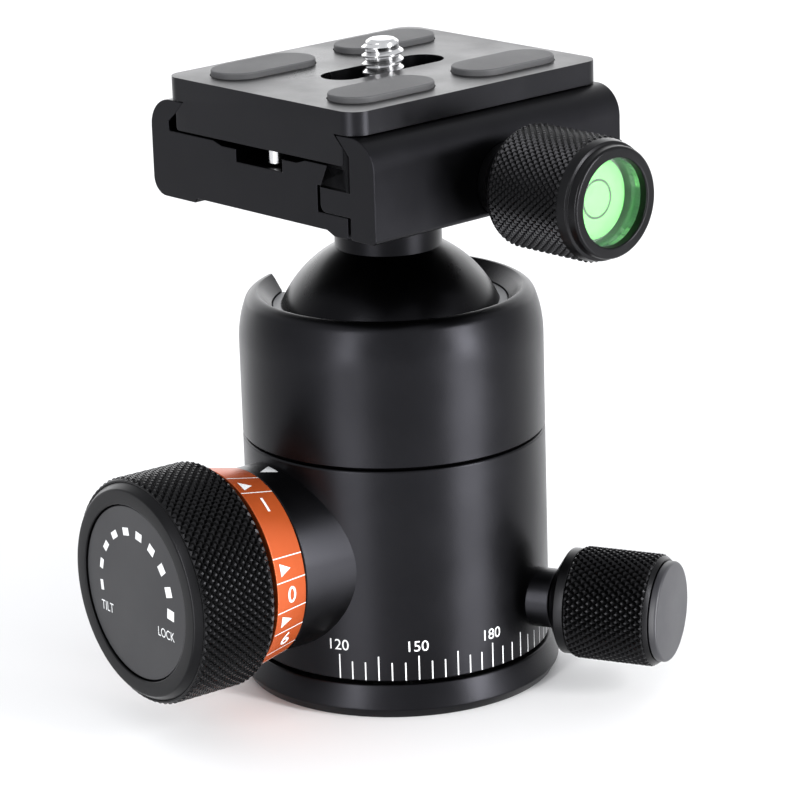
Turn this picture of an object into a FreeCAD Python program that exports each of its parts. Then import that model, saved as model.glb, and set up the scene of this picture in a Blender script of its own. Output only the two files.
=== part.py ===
# Tripod ball head: a ball with a stem in a two-part housing on a turning base,
# a quick release clamp with its plate on top, and three knobs.
# Millimetres. Origin at the centre of the base's underside, +Z up.
# The portrait notch faces +Y, the lock knob points along -X and the clamp is turned a little about Z.
import FreeCAD, Part
import math
import os
import Sketcher

Vector = FreeCAD.Vector
Rotation = FreeCAD.Rotation
Placement = FreeCAD.Placement

doc = FreeCAD.newDocument("BallHead")
sheet = doc.addObject("Spreadsheet::Sheet", "Sizes")

# Driving dimensions
SIZES = {
    "running_gap": 0.05,
    "seat_gap": 0.1,
    "overcut": 1.0,
    "cap_edge": 0.3,
    "small_edge": 0.5,
    "edge_break": 0.3,
    "base_radius": 25.0,
    "base_foot_inset": 0.9,
    "base_foot_height": 1.5,
    "base_top_inset": 1.0,
    "base_height": 5.2,
    "hub_radius": 11.0,
    "hub_length": 11.4,
    "thread_radius": 4.76,
    "insert_wall": 2.24,
    "insert_length": 9.5,
    "insert_flange_lip": 1.5,
    "insert_flange_height": 1.2,
    "glide_inset": 2.0,
    "glide_width": 8.0,
    "glide_thickness": 0.3,
    "keeper_lip": 2.0,
    "keeper_thickness": 1.2,
    "keeper_screw_radius": 2.5,
    "keeper_screw_length": 4.5,
    "keeper_head_radius": 5.0,
    "keeper_head_height": 1.3,
    "keeper_socket_across": 3.0,
    "shell_thickness": 5.1,
    "body_lift": 0.35,
    "seam_gap": 0.1,
    "seam_chamfer": 0.45,
    "spigot_wall": 1.4,
    "spigot_height": 2.2,
    "cup_bore_inset": 2.9,
    "bed_thickness": 1.0,
    "bed_above_keeper": 1.6,
    "lock_axis_above_bed": 3.84,
    "lock_boss_radius": 14.4,
    "lock_boss_length": 4.4,
    "lock_bush_radius": 6.5,
    "lock_bush_setback": 0.5,
    "lock_spindle_radius": 4.0,
    "lock_stud_radius": 2.4,
    "lock_stud_length": 12.5,
    "ring_gap": 0.2,
    "ring_width": 6.0,
    "ring_lip": 0.25,
    "ring_flare": 1.25,
    "ring_wall": 3.2,
    "ring_web": 2.0,
    "knob_gap": 0.5,
    "lock_knob_length": 14.5,
    "lock_knob_radius": 17.4,
    "lock_knob_rim_inset": 1.55,
    "lock_knob_rear_inset": 1.1,
    "lock_knob_chamfer": 1.3,
    "lock_hub_radius": 8.0,
    "lock_hub_inset": 1.0,
    "lock_spindle_setback": 4.0,
    "lock_cap_inset": 2.35,
    "lock_cap_thickness": 2.0,
    "lock_cap_recess": 0.35,
    "pan_direction": -60.0,
    "pan_axis_above_base": 8.27,
    "pan_boss_radius": 4.6,
    "pan_boss_length": 3.3,
    "pan_spindle_radius": 2.6,
    "pan_stud_radius": 1.3,
    "pan_stud_setback": 1.0,
    "shoe_length": 3.1,
    "shoe_edge": 0.4,
    "pan_knob_length": 18.0,
    "pan_knob_radius": 8.65,
    "pan_knob_rear_inset": 3.05,
    "pan_knob_ring_inset": 0.45,
    "pan_knob_cone": 1.6,
    "pan_knob_ring_width": 1.5,
    "pan_knob_step": 0.5,
    "pan_knob_front_taper": 1.1,
    "pan_spindle_setback": 2.2,
    "pan_cap_inset": 0.9,
    "pan_cap_thickness": 1.2,
    "ball_radius": 18.4,
    "ball_seat_rise": 27.9,
    "stem_radius": 8.25,
    "stem_length": 7.35,
    "cup_depth": 7.15,
    "wedge_width": 10.0,
    "wedge_back": 13.2,
    "wedge_front": 9.0,
    "wedge_tall": 9.5,
    "wedge_slope": 8.0,
    "shell_bore_gap": 1.1,
    "shell_lip_inset": 0.15,
    "shell_lip_rise": 5.6,
    "shell_lip_height": 1.85,
    "mouth_step": 0.2,
    "mouth_rise": 9.15,
    "crest_step": 1.0,
    "crest_rise": 9.75,
    "brow_inset": 1.1,
    "brow_rise": 8.25,
    "shoulder_rise": 2.15,
    "crest_curve": 2.3,
    "shoulder_curve": 17.5,
    "liner_rise": 0.65,
    "notch_gap": 1.05,
    "notch_floor": 3.35,
    "clamp_turn": 5.6,
    "clamp_length": 50.4,
    "rib_depth": 0.7,
    "web_thickness": 9.7,
    "floor_dip": 0.6,
    "jaw_lip_height": 4.75,
    "jaw_lip_width": 6.2,
    "clamp_top_curve": 4.5,
    "clamp_foot_curve": 2.8,
    "split_inset": 5.9,
    "jaw_gap": 0.6,
    "tongue_length": 5.85,
    "tongue_rise": 2.55,
    "tongue_height": 3.85,
    "tongue_edge": 1.2,
    "jaw_foot_curve": 0.8,
    "jaw_relief": 1.0,
    "rib_width_left": 3.0,
    "rib_width_right": 4.0,
    "rib_slope_left": 1.6,
    "dip_outer": 10.4,
    "dip_inner": 8.4,
    "dovetail_gap": 0.2,
    "dovetail_relief": 2.0,
    "relief_height": 1.4,
    "spindle_rise": 4.5,
    "clamp_knob_offset": 0.6,
    "pin_recess_width": 10.4,
    "pin_recess_depth": 2.5,
    "stop_block": 10.0,
    "dovetail_half": 18.8,
    "dovetail_flank": 1.9,
    "dovetail_edge": 0.5,
    "plate_lift": 0.35,
    "dovetail_height": 4.55,
    "flange_thickness": 3.5,
    "flange_overhang": 2.6,
    "plate_length": 50.5,
    "plate_corner": 3.0,
    "slot_length": 22.8,
    "slot_gap": 0.275,
    "head_pocket_gap": 0.5,
    "head_pocket_depth": 4.95,
    "pad_length": 18.2,
    "pad_width": 8.6,
    "pad_height": 0.9,
    "pad_sink": 0.8,
    "pad_across": 13.2,
    "pad_along": 12.4,
    "stop_pin_radius": 1.25,
    "stop_pin_inset": 2.65,
    "stop_pin_side": 1.2,
    "stop_pin_length": 2.4,
    "stop_pin_root": 2.0,
    "screw_radius": 3.175,
    "screw_stand": 4.45,
    "screw_neck_radius": 2.5,
    "screw_neck_drop": 1.0,
    "screw_thread_rise": 0.15,
    "screw_head_radius": 6.4,
    "screw_head_lift": 0.45,
    "screw_head_height": 3.1,
    "coin_slot_width": 1.8,
    "coin_slot_depth": 1.6,
    "clip_lip": 4.5,
    "clip_thickness": 0.9,
    "fixing_radius": 3.0,
    "fixing_head_radius": 5.0,
    "fixing_seat_thickness": 2.2,
    "fixing_head_height": 4.6,
    "fixing_grip": 6.2,
    "fixing_washer_thickness": 0.8,
    "fixing_head_clearance": 0.6,
    "washer_overhang": 0.4,
    "socket_across": 5.0,
    "socket_depth": 3.0,
    "guide_pin_radius": 1.3,
    "guide_pin_along": 16.0,
    "guide_pin_inset": 2.0,
    "guide_pin_length": 17.2,
    "spindle_pocket_gap": 2.0,
    "clamp_spindle_radius": 2.5,
    "clamp_spindle_grip": 4.0,
    "collar_lip": 3.2,
    "collar_length": 2.4,
    "clamp_knob_length": 20.3,
    "clamp_knob_radius": 9.2,
    "clamp_knob_rear_inset": 2.8,
    "clamp_knob_cone": 3.4,
    "clamp_knob_front": 3.3,
    "clamp_knob_rim_inset": 1.0,
    "clamp_knob_band": 1.2,
    "clamp_knob_band_drop": 0.5,
    "bezel_rim": 0.8,
    "bezel_edge": 0.4,
    "level_wall": 2.0,
    "level_pocket_depth": 7.0,
    "level_lip": 0.7,
    "level_bezel_depth": 1.4,
    "level_case_wall": 0.6,
    "level_disc_inset": 1.2,
    "level_disc_thickness": 2.6,
    "level_lens_thickness": 1.0,
}

# Heights, reaches and fitted radii that follow from the driving dimensions
PLACES = {
    "base_foot_radius": "base_radius - base_foot_inset",
    "base_top_radius": "base_radius - base_top_inset",
    "hub_height": "base_height + hub_length",
    "insert_radius": "thread_radius + insert_wall",
    "insert_flange_radius": "insert_radius + insert_flange_lip",
    "glide_inner_radius": "hub_radius + glide_inset",
    "glide_outer_radius": "glide_inner_radius + glide_width",
    "keeper_radius": "hub_radius + keeper_lip",
    "body_radius": "ball_radius + shell_thickness",
    "body_bottom": "base_height + body_lift",
    "ball_centre": "body_bottom + ball_seat_rise + ball_radius",
    "seam_height": "ball_centre - stem_radius - notch_gap - notch_floor",
    "spigot_radius": "shell_bore_radius + spigot_wall",
    "cup_bore_radius": "ball_radius - cup_bore_inset",
    "bed_seat_height": "hub_height + keeper_thickness + bed_above_keeper",
    "lock_axis_height": "bed_seat_height + lock_axis_above_bed",
    "lock_boss_reach": "body_radius + lock_boss_length",
    "lock_bush_start": "cup_bore_radius + lock_bush_setback",
    "lock_stud_end": "lock_bush_start - lock_stud_length",
    "ring_start": "lock_boss_reach + ring_gap",
    "ring_end": "ring_start + ring_width",
    "ring_start_radius": "lock_boss_radius + ring_lip",
    "ring_end_radius": "ring_start_radius + ring_flare",
    "lock_hub_start": "ring_start + lock_hub_inset",
    "lock_knob_start": "ring_end + knob_gap",
    "lock_knob_end": "lock_knob_start + lock_knob_length",
    "lock_knob_rim": "lock_knob_radius - lock_knob_rim_inset",
    "lock_knob_rear_radius": "lock_knob_radius - lock_knob_rear_inset",
    "lock_spindle_end": "lock_knob_end - lock_spindle_setback",
    "lock_cap_radius": "lock_knob_rim - lock_cap_inset",
    "pan_axis_height": "base_height + pan_axis_above_base",
    "pan_boss_reach": "body_radius + pan_boss_length",
    "shoe_start": "hub_radius + seat_gap",
    "pan_stud_start": "shoe_start + pan_stud_setback",
    "pan_knob_start": "pan_boss_reach + knob_gap",
    "pan_knob_end": "pan_knob_start + pan_knob_length",
    "pan_knob_rear_radius": "pan_knob_radius - pan_knob_rear_inset",
    "pan_knob_ring_radius": "pan_knob_radius - pan_knob_ring_inset",
    "pan_knob_ring_start": "pan_knob_start + pan_knob_cone",
    "pan_knob_knurl_start": "pan_knob_ring_start + pan_knob_ring_width + pan_knob_step",
    "pan_cap_radius": "pan_knob_radius - pan_cap_inset",
    "pan_knob_knurl_end": "pan_knob_end - pan_cap_thickness - pan_knob_front_taper",
    "pan_spindle_end": "pan_knob_end - pan_spindle_setback",
    "cup_radius": "cup_bore_radius - seat_gap",
    "cup_top": "ball_centre - ball_radius + cup_depth",
    "shell_bore_radius": "ball_radius + shell_bore_gap",
    "shell_lip_radius": "ball_radius - shell_lip_inset",
    "shell_lip_bottom": "ball_centre + shell_lip_rise",
    "shell_lip_top": "shell_lip_bottom + shell_lip_height",
    "mouth_radius": "shell_bore_radius + mouth_step",
    "mouth_height": "ball_centre + mouth_rise",
    "crest_radius": "mouth_radius + crest_step",
    "crest_height": "ball_centre + crest_rise",
    "brow_radius": "body_radius - brow_inset",
    "brow_height": "ball_centre + brow_rise",
    "shoulder_height": "ball_centre + shoulder_rise",
    "liner_bottom": "ball_centre + liner_rise",
    "clamp_web": "ball_centre + ball_radius + stem_length",
    "clamp_bottom": "clamp_web - rib_depth",
    "clamp_floor": "clamp_web + web_thickness",
    "clamp_floor_dip": "clamp_floor - floor_dip",
    "clamp_top": "clamp_floor + jaw_lip_height",
    "clamp_half_width": "dovetail_half + jaw_lip_width",
    "jaw_split": "jaw_outside - split_inset",
    "jaw_outside": "clamp_half_width + dovetail_gap",
    "tongue_reach": "jaw_split - tongue_length",
    "tongue_bottom": "clamp_web + tongue_rise",
    "tongue_top": "tongue_bottom + tongue_height",
    "rib_left": "jaw_split - rib_width_left",
    "rib_inner": "rib_left - rib_slope_left",
    "rib_right": "jaw_split - rib_width_right",
    "clamp_axis_height": "clamp_web + spindle_rise",
    "pin_recess_bottom": "clamp_floor - pin_recess_depth",
    "dovetail_neck": "dovetail_half - dovetail_flank",
    "plate_bottom": "clamp_floor + plate_lift",
    "flange_bottom": "plate_bottom + dovetail_height",
    "plate_top": "flange_bottom + flange_thickness",
    "plate_half_width": "dovetail_half + flange_overhang",
    "slot_width": "2 * (screw_radius + slot_gap)",
    "keeper_clip_radius": "screw_neck_radius + clip_lip",
    "head_pocket_width": "2 * (keeper_clip_radius + head_pocket_gap)",
    "head_pocket_length": "head_pocket_width + slot_length - slot_width + head_pocket_gap",
    "head_pocket_top": "plate_bottom + head_pocket_depth",
    "stop_pin_reach": "plate_length / 2 - stop_pin_inset",
    "screw_top": "plate_top + screw_stand",
    "screw_neck_top": "plate_top - screw_neck_drop",
    "screw_thread_bottom": "plate_top + screw_thread_rise",
    "screw_head_bottom": "plate_bottom + screw_head_lift",
    "screw_head_top": "screw_head_bottom + screw_head_height",
    "fixing_head_bottom": "clamp_web + fixing_seat_thickness + fixing_washer_thickness",
    "guide_pin_end": "jaw_outside - guide_pin_inset",
    "guide_pin_start": "guide_pin_end - guide_pin_length",
    "clamp_spindle_start": "fixing_head_radius + fixing_head_clearance + spindle_pocket_gap",
    "clamp_knob_end": "jaw_outside + collar_length + clamp_knob_length",
    "clamp_knob_shoulder": "jaw_outside + collar_length + clamp_knob_cone",
    "clamp_spindle_end": "clamp_knob_shoulder + clamp_spindle_grip",
    "collar_radius": "clamp_spindle_radius + collar_lip",
    "clamp_knob_rear_radius": "clamp_knob_radius - clamp_knob_rear_inset",
    "clamp_knob_knurl_end": "clamp_knob_end - clamp_knob_front",
    "clamp_knob_rim": "clamp_knob_radius - clamp_knob_rim_inset",
    "level_pocket_radius": "clamp_knob_radius - level_wall",
    "level_opening_radius": "level_pocket_radius - level_lip",
    "level_disc_radius": "level_pocket_radius - level_disc_inset",
}
ROWS = list(enumerate({**SIZES, **PLACES}.items(), start=1))
for row, (alias, size) in ROWS:
    sheet.set("A%d" % row, alias.replace("_", " "))
    sheet.setAlias("B%d" % row, alias)
for row, (alias, size) in ROWS:
    sheet.set("B%d" % row, "=" + size if alias in PLACES else str(size))
doc.recompute()

NODES = []


def value(expression):
    """Number that an expression on the sheet's sizes gives."""
    result = sheet.evalExpression(named(expression))
    return float(getattr(result, "Value", result))


def named(expression):
    """Expression with each size's alias written as a property of the sheet."""
    words = []
    word = ""
    for mark in str(expression) + " ":
        if mark.isalnum() or mark == "_":
            word += mark
        else:
            words.append("Sizes." + word if word in SIZES or word in PLACES else word)
            words.append(mark)
            word = ""
    return "".join(words).strip()


def new_body(name):
    body = doc.addObject("PartDesign::Body", name)
    body.Label = name
    NODES.append(body)
    return body


def origin_plane(body, role):
    for feature in body.Origin.OriginFeatures:
        if feature.Role == role:
            return feature
    raise ValueError(role)


def new_sketch(body, name, role, offset=None):
    sketch = body.newObject("Sketcher::SketchObject", name)
    sketch.AttachmentSupport = [(origin_plane(body, role), "")]
    sketch.MapMode = "FlatFace"
    if offset is not None:
        sketch.AttachmentOffset = offset
    return sketch


def bind(sketch, kind, references, expression):
    """Dimension constraint that follows an expression."""
    index = sketch.addConstraint(Sketcher.Constraint(kind, *references, value(expression)))
    sketch.setExpression("Constraints[%d]" % index, named(expression))


def bulge(start, end, radius, side):
    """Middle point of an arc from start to end that bulges to the left (1) or right (-1)."""
    chord = end - start
    half = chord.Length / 2
    left = Vector(-chord.y, chord.x, 0).normalize()
    rise = radius - math.sqrt(max(radius * radius - half * half, 0.0))
    return (start + end) * 0.5 + left * (side * rise)


def draw_outline(sketch, points):
    """Closed outline. A point is (x, y), or (x, y, radius, side) where an arc runs on to the next point.

    A half circle adds the centre's own coordinate, "DistanceX" or "DistanceY", that its start shares.
    """
    places = [Vector(value(point[0]), value(point[1]), 0) for point in points]
    count = len(points)
    ends = []
    for index, point in enumerate(points):
        start = places[index]
        end = places[(index + 1) % count]
        if len(point) == 2:
            geometry = sketch.addGeometry(Part.LineSegment(start, end), False)
            ends.append((geometry, 1, 2))
            continue
        middle = bulge(start, end, value(point[2]), point[3])
        geometry = sketch.addGeometry(Part.Arc(start, middle, end), False)
        first = sketch.Geometry[geometry].StartPoint
        in_order = first.distanceToPoint(start) < first.distanceToPoint(end)
        ends.append((geometry, 1, 2) if in_order else (geometry, 2, 1))
    for index in range(count):
        geometry, start_mark, end_mark = ends[index]
        next_geometry, next_start, next_end = ends[(index + 1) % count]
        joined = (geometry, end_mark, next_geometry, next_start)
        sketch.addConstraint(Sketcher.Constraint("Coincident", *joined))
    for index, point in enumerate(points):
        geometry, start_mark, end_mark = ends[index]
        for kind, number in (("DistanceX", point[0]), ("DistanceY", point[1])):
            bind(sketch, kind, (-1, 1, geometry, start_mark), number)
        if len(point) == 4:
            bind(sketch, "Radius", (geometry,), point[2])
        if len(point) == 5:
            shared = point[0] if point[4] == "DistanceX" else point[1]
            bind(sketch, point[4], (-1, 1, geometry, 3), shared)


def draw_circle(sketch, x, y, radius):
    circle = Part.Circle(Vector(value(x), value(y), 0), Vector(0, 0, 1), value(radius))
    geometry = sketch.addGeometry(circle, False)
    bind(sketch, "Radius", (geometry,), radius)
    bind(sketch, "DistanceX", (-1, 1, geometry, 3), x)
    bind(sketch, "DistanceY", (-1, 1, geometry, 3), y)


def revolve(body, name, points, cut=False):
    """Turn an outline of (radius, height) points about the body's own Z axis."""
    sketch = new_sketch(body, name + "_sketch", "XZ_Plane")
    draw_outline(sketch, points)
    kind = "PartDesign::Groove" if cut else "PartDesign::Revolution"
    feature = body.newObject(kind, name)
    feature.Profile = sketch
    feature.ReferenceAxis = (sketch, ["V_Axis"])
    feature.Angle = 360
    sketch.Visibility = False
    return feature


def pad(body, name, sketch, length, middle=False, backwards=False):
    feature = body.newObject("PartDesign::Pad", name)
    feature.Profile = sketch
    feature.setExpression("Length", named(length))
    feature.Midplane = middle
    feature.Reversed = backwards
    return feature


def pocket(body, name, sketch, length, middle=False, backwards=False):
    feature = body.newObject("PartDesign::Pocket", name)
    feature.Profile = sketch
    feature.setExpression("Length", named(length))
    feature.Midplane = middle
    feature.Reversed = backwards
    return feature


def cut_ball_seat(body, gap):
    """Spherical hollow for the ball, a gap wider than the ball."""
    sphere = body.newObject("PartDesign::SubtractiveSphere", body.Label + "_seat")
    sphere.setExpression("Radius", named("ball_radius + %s" % gap))
    sphere.AttachmentSupport = [(origin_plane(body, "XY_Plane"), "")]
    sphere.MapMode = "FlatFace"
    sphere.setExpression("AttachmentOffset.Base.z", named("ball_centre"))


def turned_body(name, points):
    body = new_body(name)
    revolve(body, name + "_turn", points)
    return body


def along(direction_degrees, height):
    """Placement that lays a turned body's Z axis level, pointing away from the head's axis."""
    turn = Rotation(Vector(0, 0, 1), direction_degrees) * Rotation(Vector(0, 1, 0), 90)
    return Placement(Vector(0, 0, value(height)), turn)


def lay_lock(body):
    body.Placement = along(180, "lock_axis_height")
    body.setExpression("Placement.Base.z", named("lock_axis_height"))


def lay_pan(body):
    body.Placement = along(value("pan_direction"), "pan_axis_height")
    body.setExpression("Placement.Base.z", named("pan_axis_height"))


def turn_clamp(body):
    """Put a body of the clamp, drawn along X, at the clamp's turn about the head's axis."""
    body.Placement = Placement(Vector(0, 0, 0), Rotation(Vector(0, 0, 1), value("clamp_turn")))


def lay_clamp_knob(body):
    turn = Rotation(Vector(0, 0, 1), value("clamp_turn"))
    place = turn.multVec(Vector(value("clamp_knob_offset"), 0, value("clamp_axis_height")))
    body.Placement = Placement(place, turn * Rotation(Vector(1, 0, 0), 90))


def rectangle(left, right, low, high):
    return [(left, low), (right, low), (right, high), (left, high)]


def stadium(x, y, length, width):
    """Corners of a slot with round ends, centred on x, y and lying along the sketch's X."""
    reach = "(%s) / 2 - (%s) / 2" % (length, width)
    half = "(%s) / 2" % width
    left = "%s - (%s)" % (x, reach)
    right = "%s + (%s)" % (x, reach)
    low = "%s - %s" % (y, half)
    high = "%s + %s" % (y, half)
    return [
        (left, low),
        (right, low, half, -1, "DistanceX"),
        (right, high),
        (left, high, half, -1, "DistanceX"),
    ]


def raised_sketch(body, name, height):
    """Sketch on a level plane at a height."""
    sketch = new_sketch(body, name, "XY_Plane", Placement(Vector(0, 0, value(height)), Rotation()))
    sketch.setExpression("AttachmentOffset.Base.z", named(height))
    return sketch


def cut_hex_socket(body, name, top, across, depth):
    """Hexagon socket sunk from a height into a screw's head."""
    sketch = raised_sketch(body, name + "_sketch", top)
    reach = "(%s) / 2" % across
    corner = "(%s) / sqrt(3)" % across
    draw_outline(sketch, [
        (corner, "0"),
        ("%s / 2" % corner, reach),
        ("-%s / 2" % corner, reach),
        ("-" + corner, "0"),
        ("-%s / 2" % corner, "-" + reach),
        ("%s / 2" % corner, "-" + reach),
    ])
    pocket(body, name, sketch, depth)


# Base that turns under the housing

def make_pan_base():
    body = new_body("pan_base")
    side_slope = "(base_radius - base_top_radius) / (base_height - base_foot_height)"
    revolve(body, "base_turn", [
        ("0", "0"),
        ("base_foot_radius", "0"),
        ("base_radius", "base_foot_height"),
        ("base_top_radius + edge_break * " + side_slope, "base_height - edge_break"),
        ("base_top_radius - edge_break", "base_height"),
        ("hub_radius", "base_height"),
        ("hub_radius", "hub_height"),
        ("0", "hub_height"),
    ])
    revolve(body, "insert_seat", [
        ("0", "0"),
        ("insert_flange_radius", "0"),
        ("insert_flange_radius", "insert_flange_height"),
        ("insert_radius", "insert_flange_height"),
        ("insert_radius", "insert_length"),
        ("0", "insert_length"),
    ], cut=True)
    revolve(body, "keeper_screw_hole", [
        ("0", "hub_height - keeper_screw_length"),
        ("keeper_screw_radius", "hub_height - keeper_screw_length"),
        ("keeper_screw_radius", "hub_height"),
        ("0", "hub_height"),
    ], cut=True)


def make_base_fittings():
    turned_body("thread_insert", [
        ("thread_radius", "0"),
        ("insert_flange_radius", "0"),
        ("insert_flange_radius", "insert_flange_height"),
        ("insert_radius", "insert_flange_height"),
        ("insert_radius", "insert_length"),
        ("thread_radius", "insert_length"),
    ])
    turned_body("glide_ring", [
        ("glide_inner_radius", "base_height"),
        ("glide_outer_radius", "base_height"),
        ("glide_outer_radius", "base_height + glide_thickness"),
        ("glide_inner_radius", "base_height + glide_thickness"),
    ])
    keeper_high = "hub_height + keeper_thickness"
    turned_body("pan_keeper", [
        ("keeper_screw_radius", "hub_height"),
        ("keeper_radius", "hub_height"),
        ("keeper_radius", keeper_high),
        ("keeper_screw_radius", keeper_high),
    ])
    head_top = keeper_high + " + keeper_head_height"
    screw = turned_body("keeper_screw", [
        ("0", "hub_height - keeper_screw_length"),
        ("keeper_screw_radius", "hub_height - keeper_screw_length"),
        ("keeper_screw_radius", keeper_high),
        ("keeper_head_radius", keeper_high),
        ("keeper_head_radius", head_top),
        ("0", head_top),
    ])
    cut_hex_socket(screw, "keeper_socket", head_top, "keeper_socket_across", "keeper_head_height")


# Housing

def make_lower_housing():
    body = new_body("lower_housing")
    top = "seam_height - seam_gap / 2"
    revolve(body, "lower_turn", [
        ("0", "body_bottom"),
        ("body_radius - edge_break", "body_bottom"),
        ("body_radius", "body_bottom + edge_break"),
        ("body_radius", top + " - seam_chamfer"),
        ("body_radius - seam_chamfer", top),
        ("spigot_radius", top),
        ("spigot_radius", top + " + spigot_height"),
        ("0", top + " + spigot_height"),
    ])
    lock = new_sketch(body, "lock_boss_sketch", "YZ_Plane")
    draw_circle(lock, "0", "lock_axis_height", "lock_boss_radius")
    pad(body, "lock_boss", lock, "lock_boss_reach", backwards=True)
    facing = Placement(Vector(0, 0, 0), Rotation(Vector(0, 1, 0), value("pan_direction")))
    pan = new_sketch(body, "pan_boss_sketch", "YZ_Plane", facing)
    draw_circle(pan, "0", "pan_axis_height", "pan_boss_radius")
    pad(body, "pan_boss", pan, "pan_boss_reach")
    ledge = "hub_height - running_gap"
    revolve(body, "inside_turn", [
        ("0", "body_bottom"),
        ("hub_radius + running_gap", "body_bottom"),
        ("hub_radius + running_gap", ledge),
        ("keeper_radius + seat_gap", ledge),
        ("keeper_radius + seat_gap", "bed_seat_height"),
        ("cup_bore_radius", "bed_seat_height"),
        ("cup_bore_radius", top + " + spigot_height"),
        ("0", top + " + spigot_height"),
    ], cut=True)
    lock_hole = new_sketch(body, "lock_hole_sketch", "YZ_Plane")
    draw_circle(lock_hole, "0", "lock_axis_height", "lock_bush_radius")
    pocket(body, "lock_hole", lock_hole, "lock_boss_reach + overcut")
    pan_hole = new_sketch(body, "pan_hole_sketch", "YZ_Plane", facing)
    draw_circle(pan_hole, "0", "pan_axis_height", "pan_spindle_radius + running_gap")
    pocket(body, "pan_hole", pan_hole, "pan_boss_reach + overcut", backwards=True)


def make_upper_housing():
    body = new_body("upper_housing")
    bottom = "seam_height + seam_gap / 2"
    revolve(body, "upper_turn", [
        ("spigot_radius + running_gap", bottom),
        ("body_radius - seam_chamfer", bottom),
        ("body_radius", bottom + " + seam_chamfer"),
        ("body_radius", "shoulder_height", "shoulder_curve", -1),
        ("brow_radius", "brow_height", "crest_curve", -1),
        ("crest_radius", "crest_height"),
        ("mouth_radius", "mouth_height"),
        ("shell_lip_radius", "shell_lip_top"),
        ("shell_lip_radius", "shell_lip_bottom"),
        ("shell_bore_radius", "shell_lip_bottom"),
        ("shell_bore_radius", bottom + " + spigot_height + seat_gap"),
        ("spigot_radius + running_gap", bottom + " + spigot_height + seat_gap"),
    ])
    cut_notch(body)


def cut_notch(body):
    """Portrait notch: a round-bottomed slot on the +Y side that lets the stem lie level."""
    sketch = new_sketch(body, "notch_sketch", "XZ_Plane")
    half = "stem_radius + notch_gap"
    draw_outline(sketch, [
        ("-(%s)" % half, "crest_height + ball_radius"),
        ("-(%s)" % half, "ball_centre", half, -1, "DistanceY"),
        (half, "ball_centre"),
        (half, "crest_height + ball_radius"),
    ])
    pocket(body, "notch", sketch, "body_radius + overcut")


def make_mouth_liner():
    body = new_body("mouth_liner")
    revolve(body, "liner_turn", [
        ("stem_radius", "liner_bottom"),
        ("shell_bore_radius - running_gap", "liner_bottom"),
        ("shell_bore_radius - running_gap", "shell_lip_bottom"),
        ("shell_lip_radius - running_gap", "shell_lip_bottom"),
        ("shell_lip_radius - running_gap", "shell_lip_top"),
        ("stem_radius", "shell_lip_top"),
    ])
    cut_ball_seat(body, "seat_gap")
    cut_notch(body)


# Ball and stem

def make_ball():
    ball = doc.addObject("Part::Sphere", "ball")
    ball.Label = "ball"
    ball.setExpression("Radius", named("ball_radius"))
    ball.setExpression("Placement.Base.z", named("ball_centre"))
    NODES.append(ball)


def make_stem():
    hole = "fixing_radius + running_gap"
    hole_bottom = "fixing_head_bottom - fixing_washer_thickness - fixing_grip - seat_gap"
    top = "clamp_web - running_gap"
    body = new_body("ball_stem")
    revolve(body, "stem_turn", [
        ("0", "ball_centre + ball_radius / 2"),
        ("stem_radius", "ball_centre + ball_radius / 2"),
        ("stem_radius", top),
        ("0", top),
    ])
    cut_ball_seat(body, "running_gap")
    revolve(body, "stem_hole", [
        ("0", hole_bottom),
        (hole, hole_bottom),
        (hole, top),
        ("0", top),
    ], cut=True)


# Ball lock: cup, wedge and its bed

def make_ball_cup():
    low = "bed_seat_height + bed_thickness + running_gap"
    body = new_body("ball_cup")
    revolve(body, "cup_turn", [
        ("0", low),
        ("cup_radius", low),
        ("cup_radius", "cup_top"),
        ("0", "cup_top"),
    ])
    cut_ball_seat(body, "running_gap")
    tall = "(" + low + " + wedge_tall + running_gap)"
    rise = "tan(wedge_slope)"
    sketch = new_sketch(body, "slope_sketch", "XZ_Plane")
    draw_outline(sketch, [
        ("-body_radius", "body_bottom"),
        ("body_radius", "body_bottom"),
        ("body_radius", "%s + (body_radius - wedge_front) * %s" % (tall, rise)),
        ("-body_radius", "%s - (body_radius + wedge_front) * %s" % (tall, rise)),
    ])
    pocket(body, "slope", sketch, "2 * body_radius", middle=True)


def make_lock_wedge():
    low = "bed_seat_height + bed_thickness + running_gap"
    body = new_body("lock_wedge")
    sketch = new_sketch(body, "wedge_sketch", "XZ_Plane")
    draw_outline(sketch, [
        ("-wedge_back", low),
        ("wedge_front", low),
        ("wedge_front", low + " + wedge_tall"),
        ("-wedge_back", low + " + wedge_tall - (wedge_front + wedge_back) * tan(wedge_slope)"),
    ])
    pad(body, "wedge_block", sketch, "wedge_width", middle=True)
    hole = new_sketch(body, "stud_hole_sketch", "YZ_Plane")
    draw_circle(hole, "0", "lock_axis_height", "lock_stud_radius + running_gap")
    pocket(body, "stud_hole", hole, "2 * wedge_back", middle=True)


def make_wedge_bed():
    turned_body("wedge_bed", [
        ("0", "bed_seat_height"),
        ("cup_bore_radius - running_gap", "bed_seat_height"),
        ("cup_bore_radius - running_gap", "bed_seat_height + bed_thickness"),
        ("0", "bed_seat_height + bed_thickness"),
    ])


# Lock knob and tension ring, drawn along their own axis from the head's axis outwards

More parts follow.
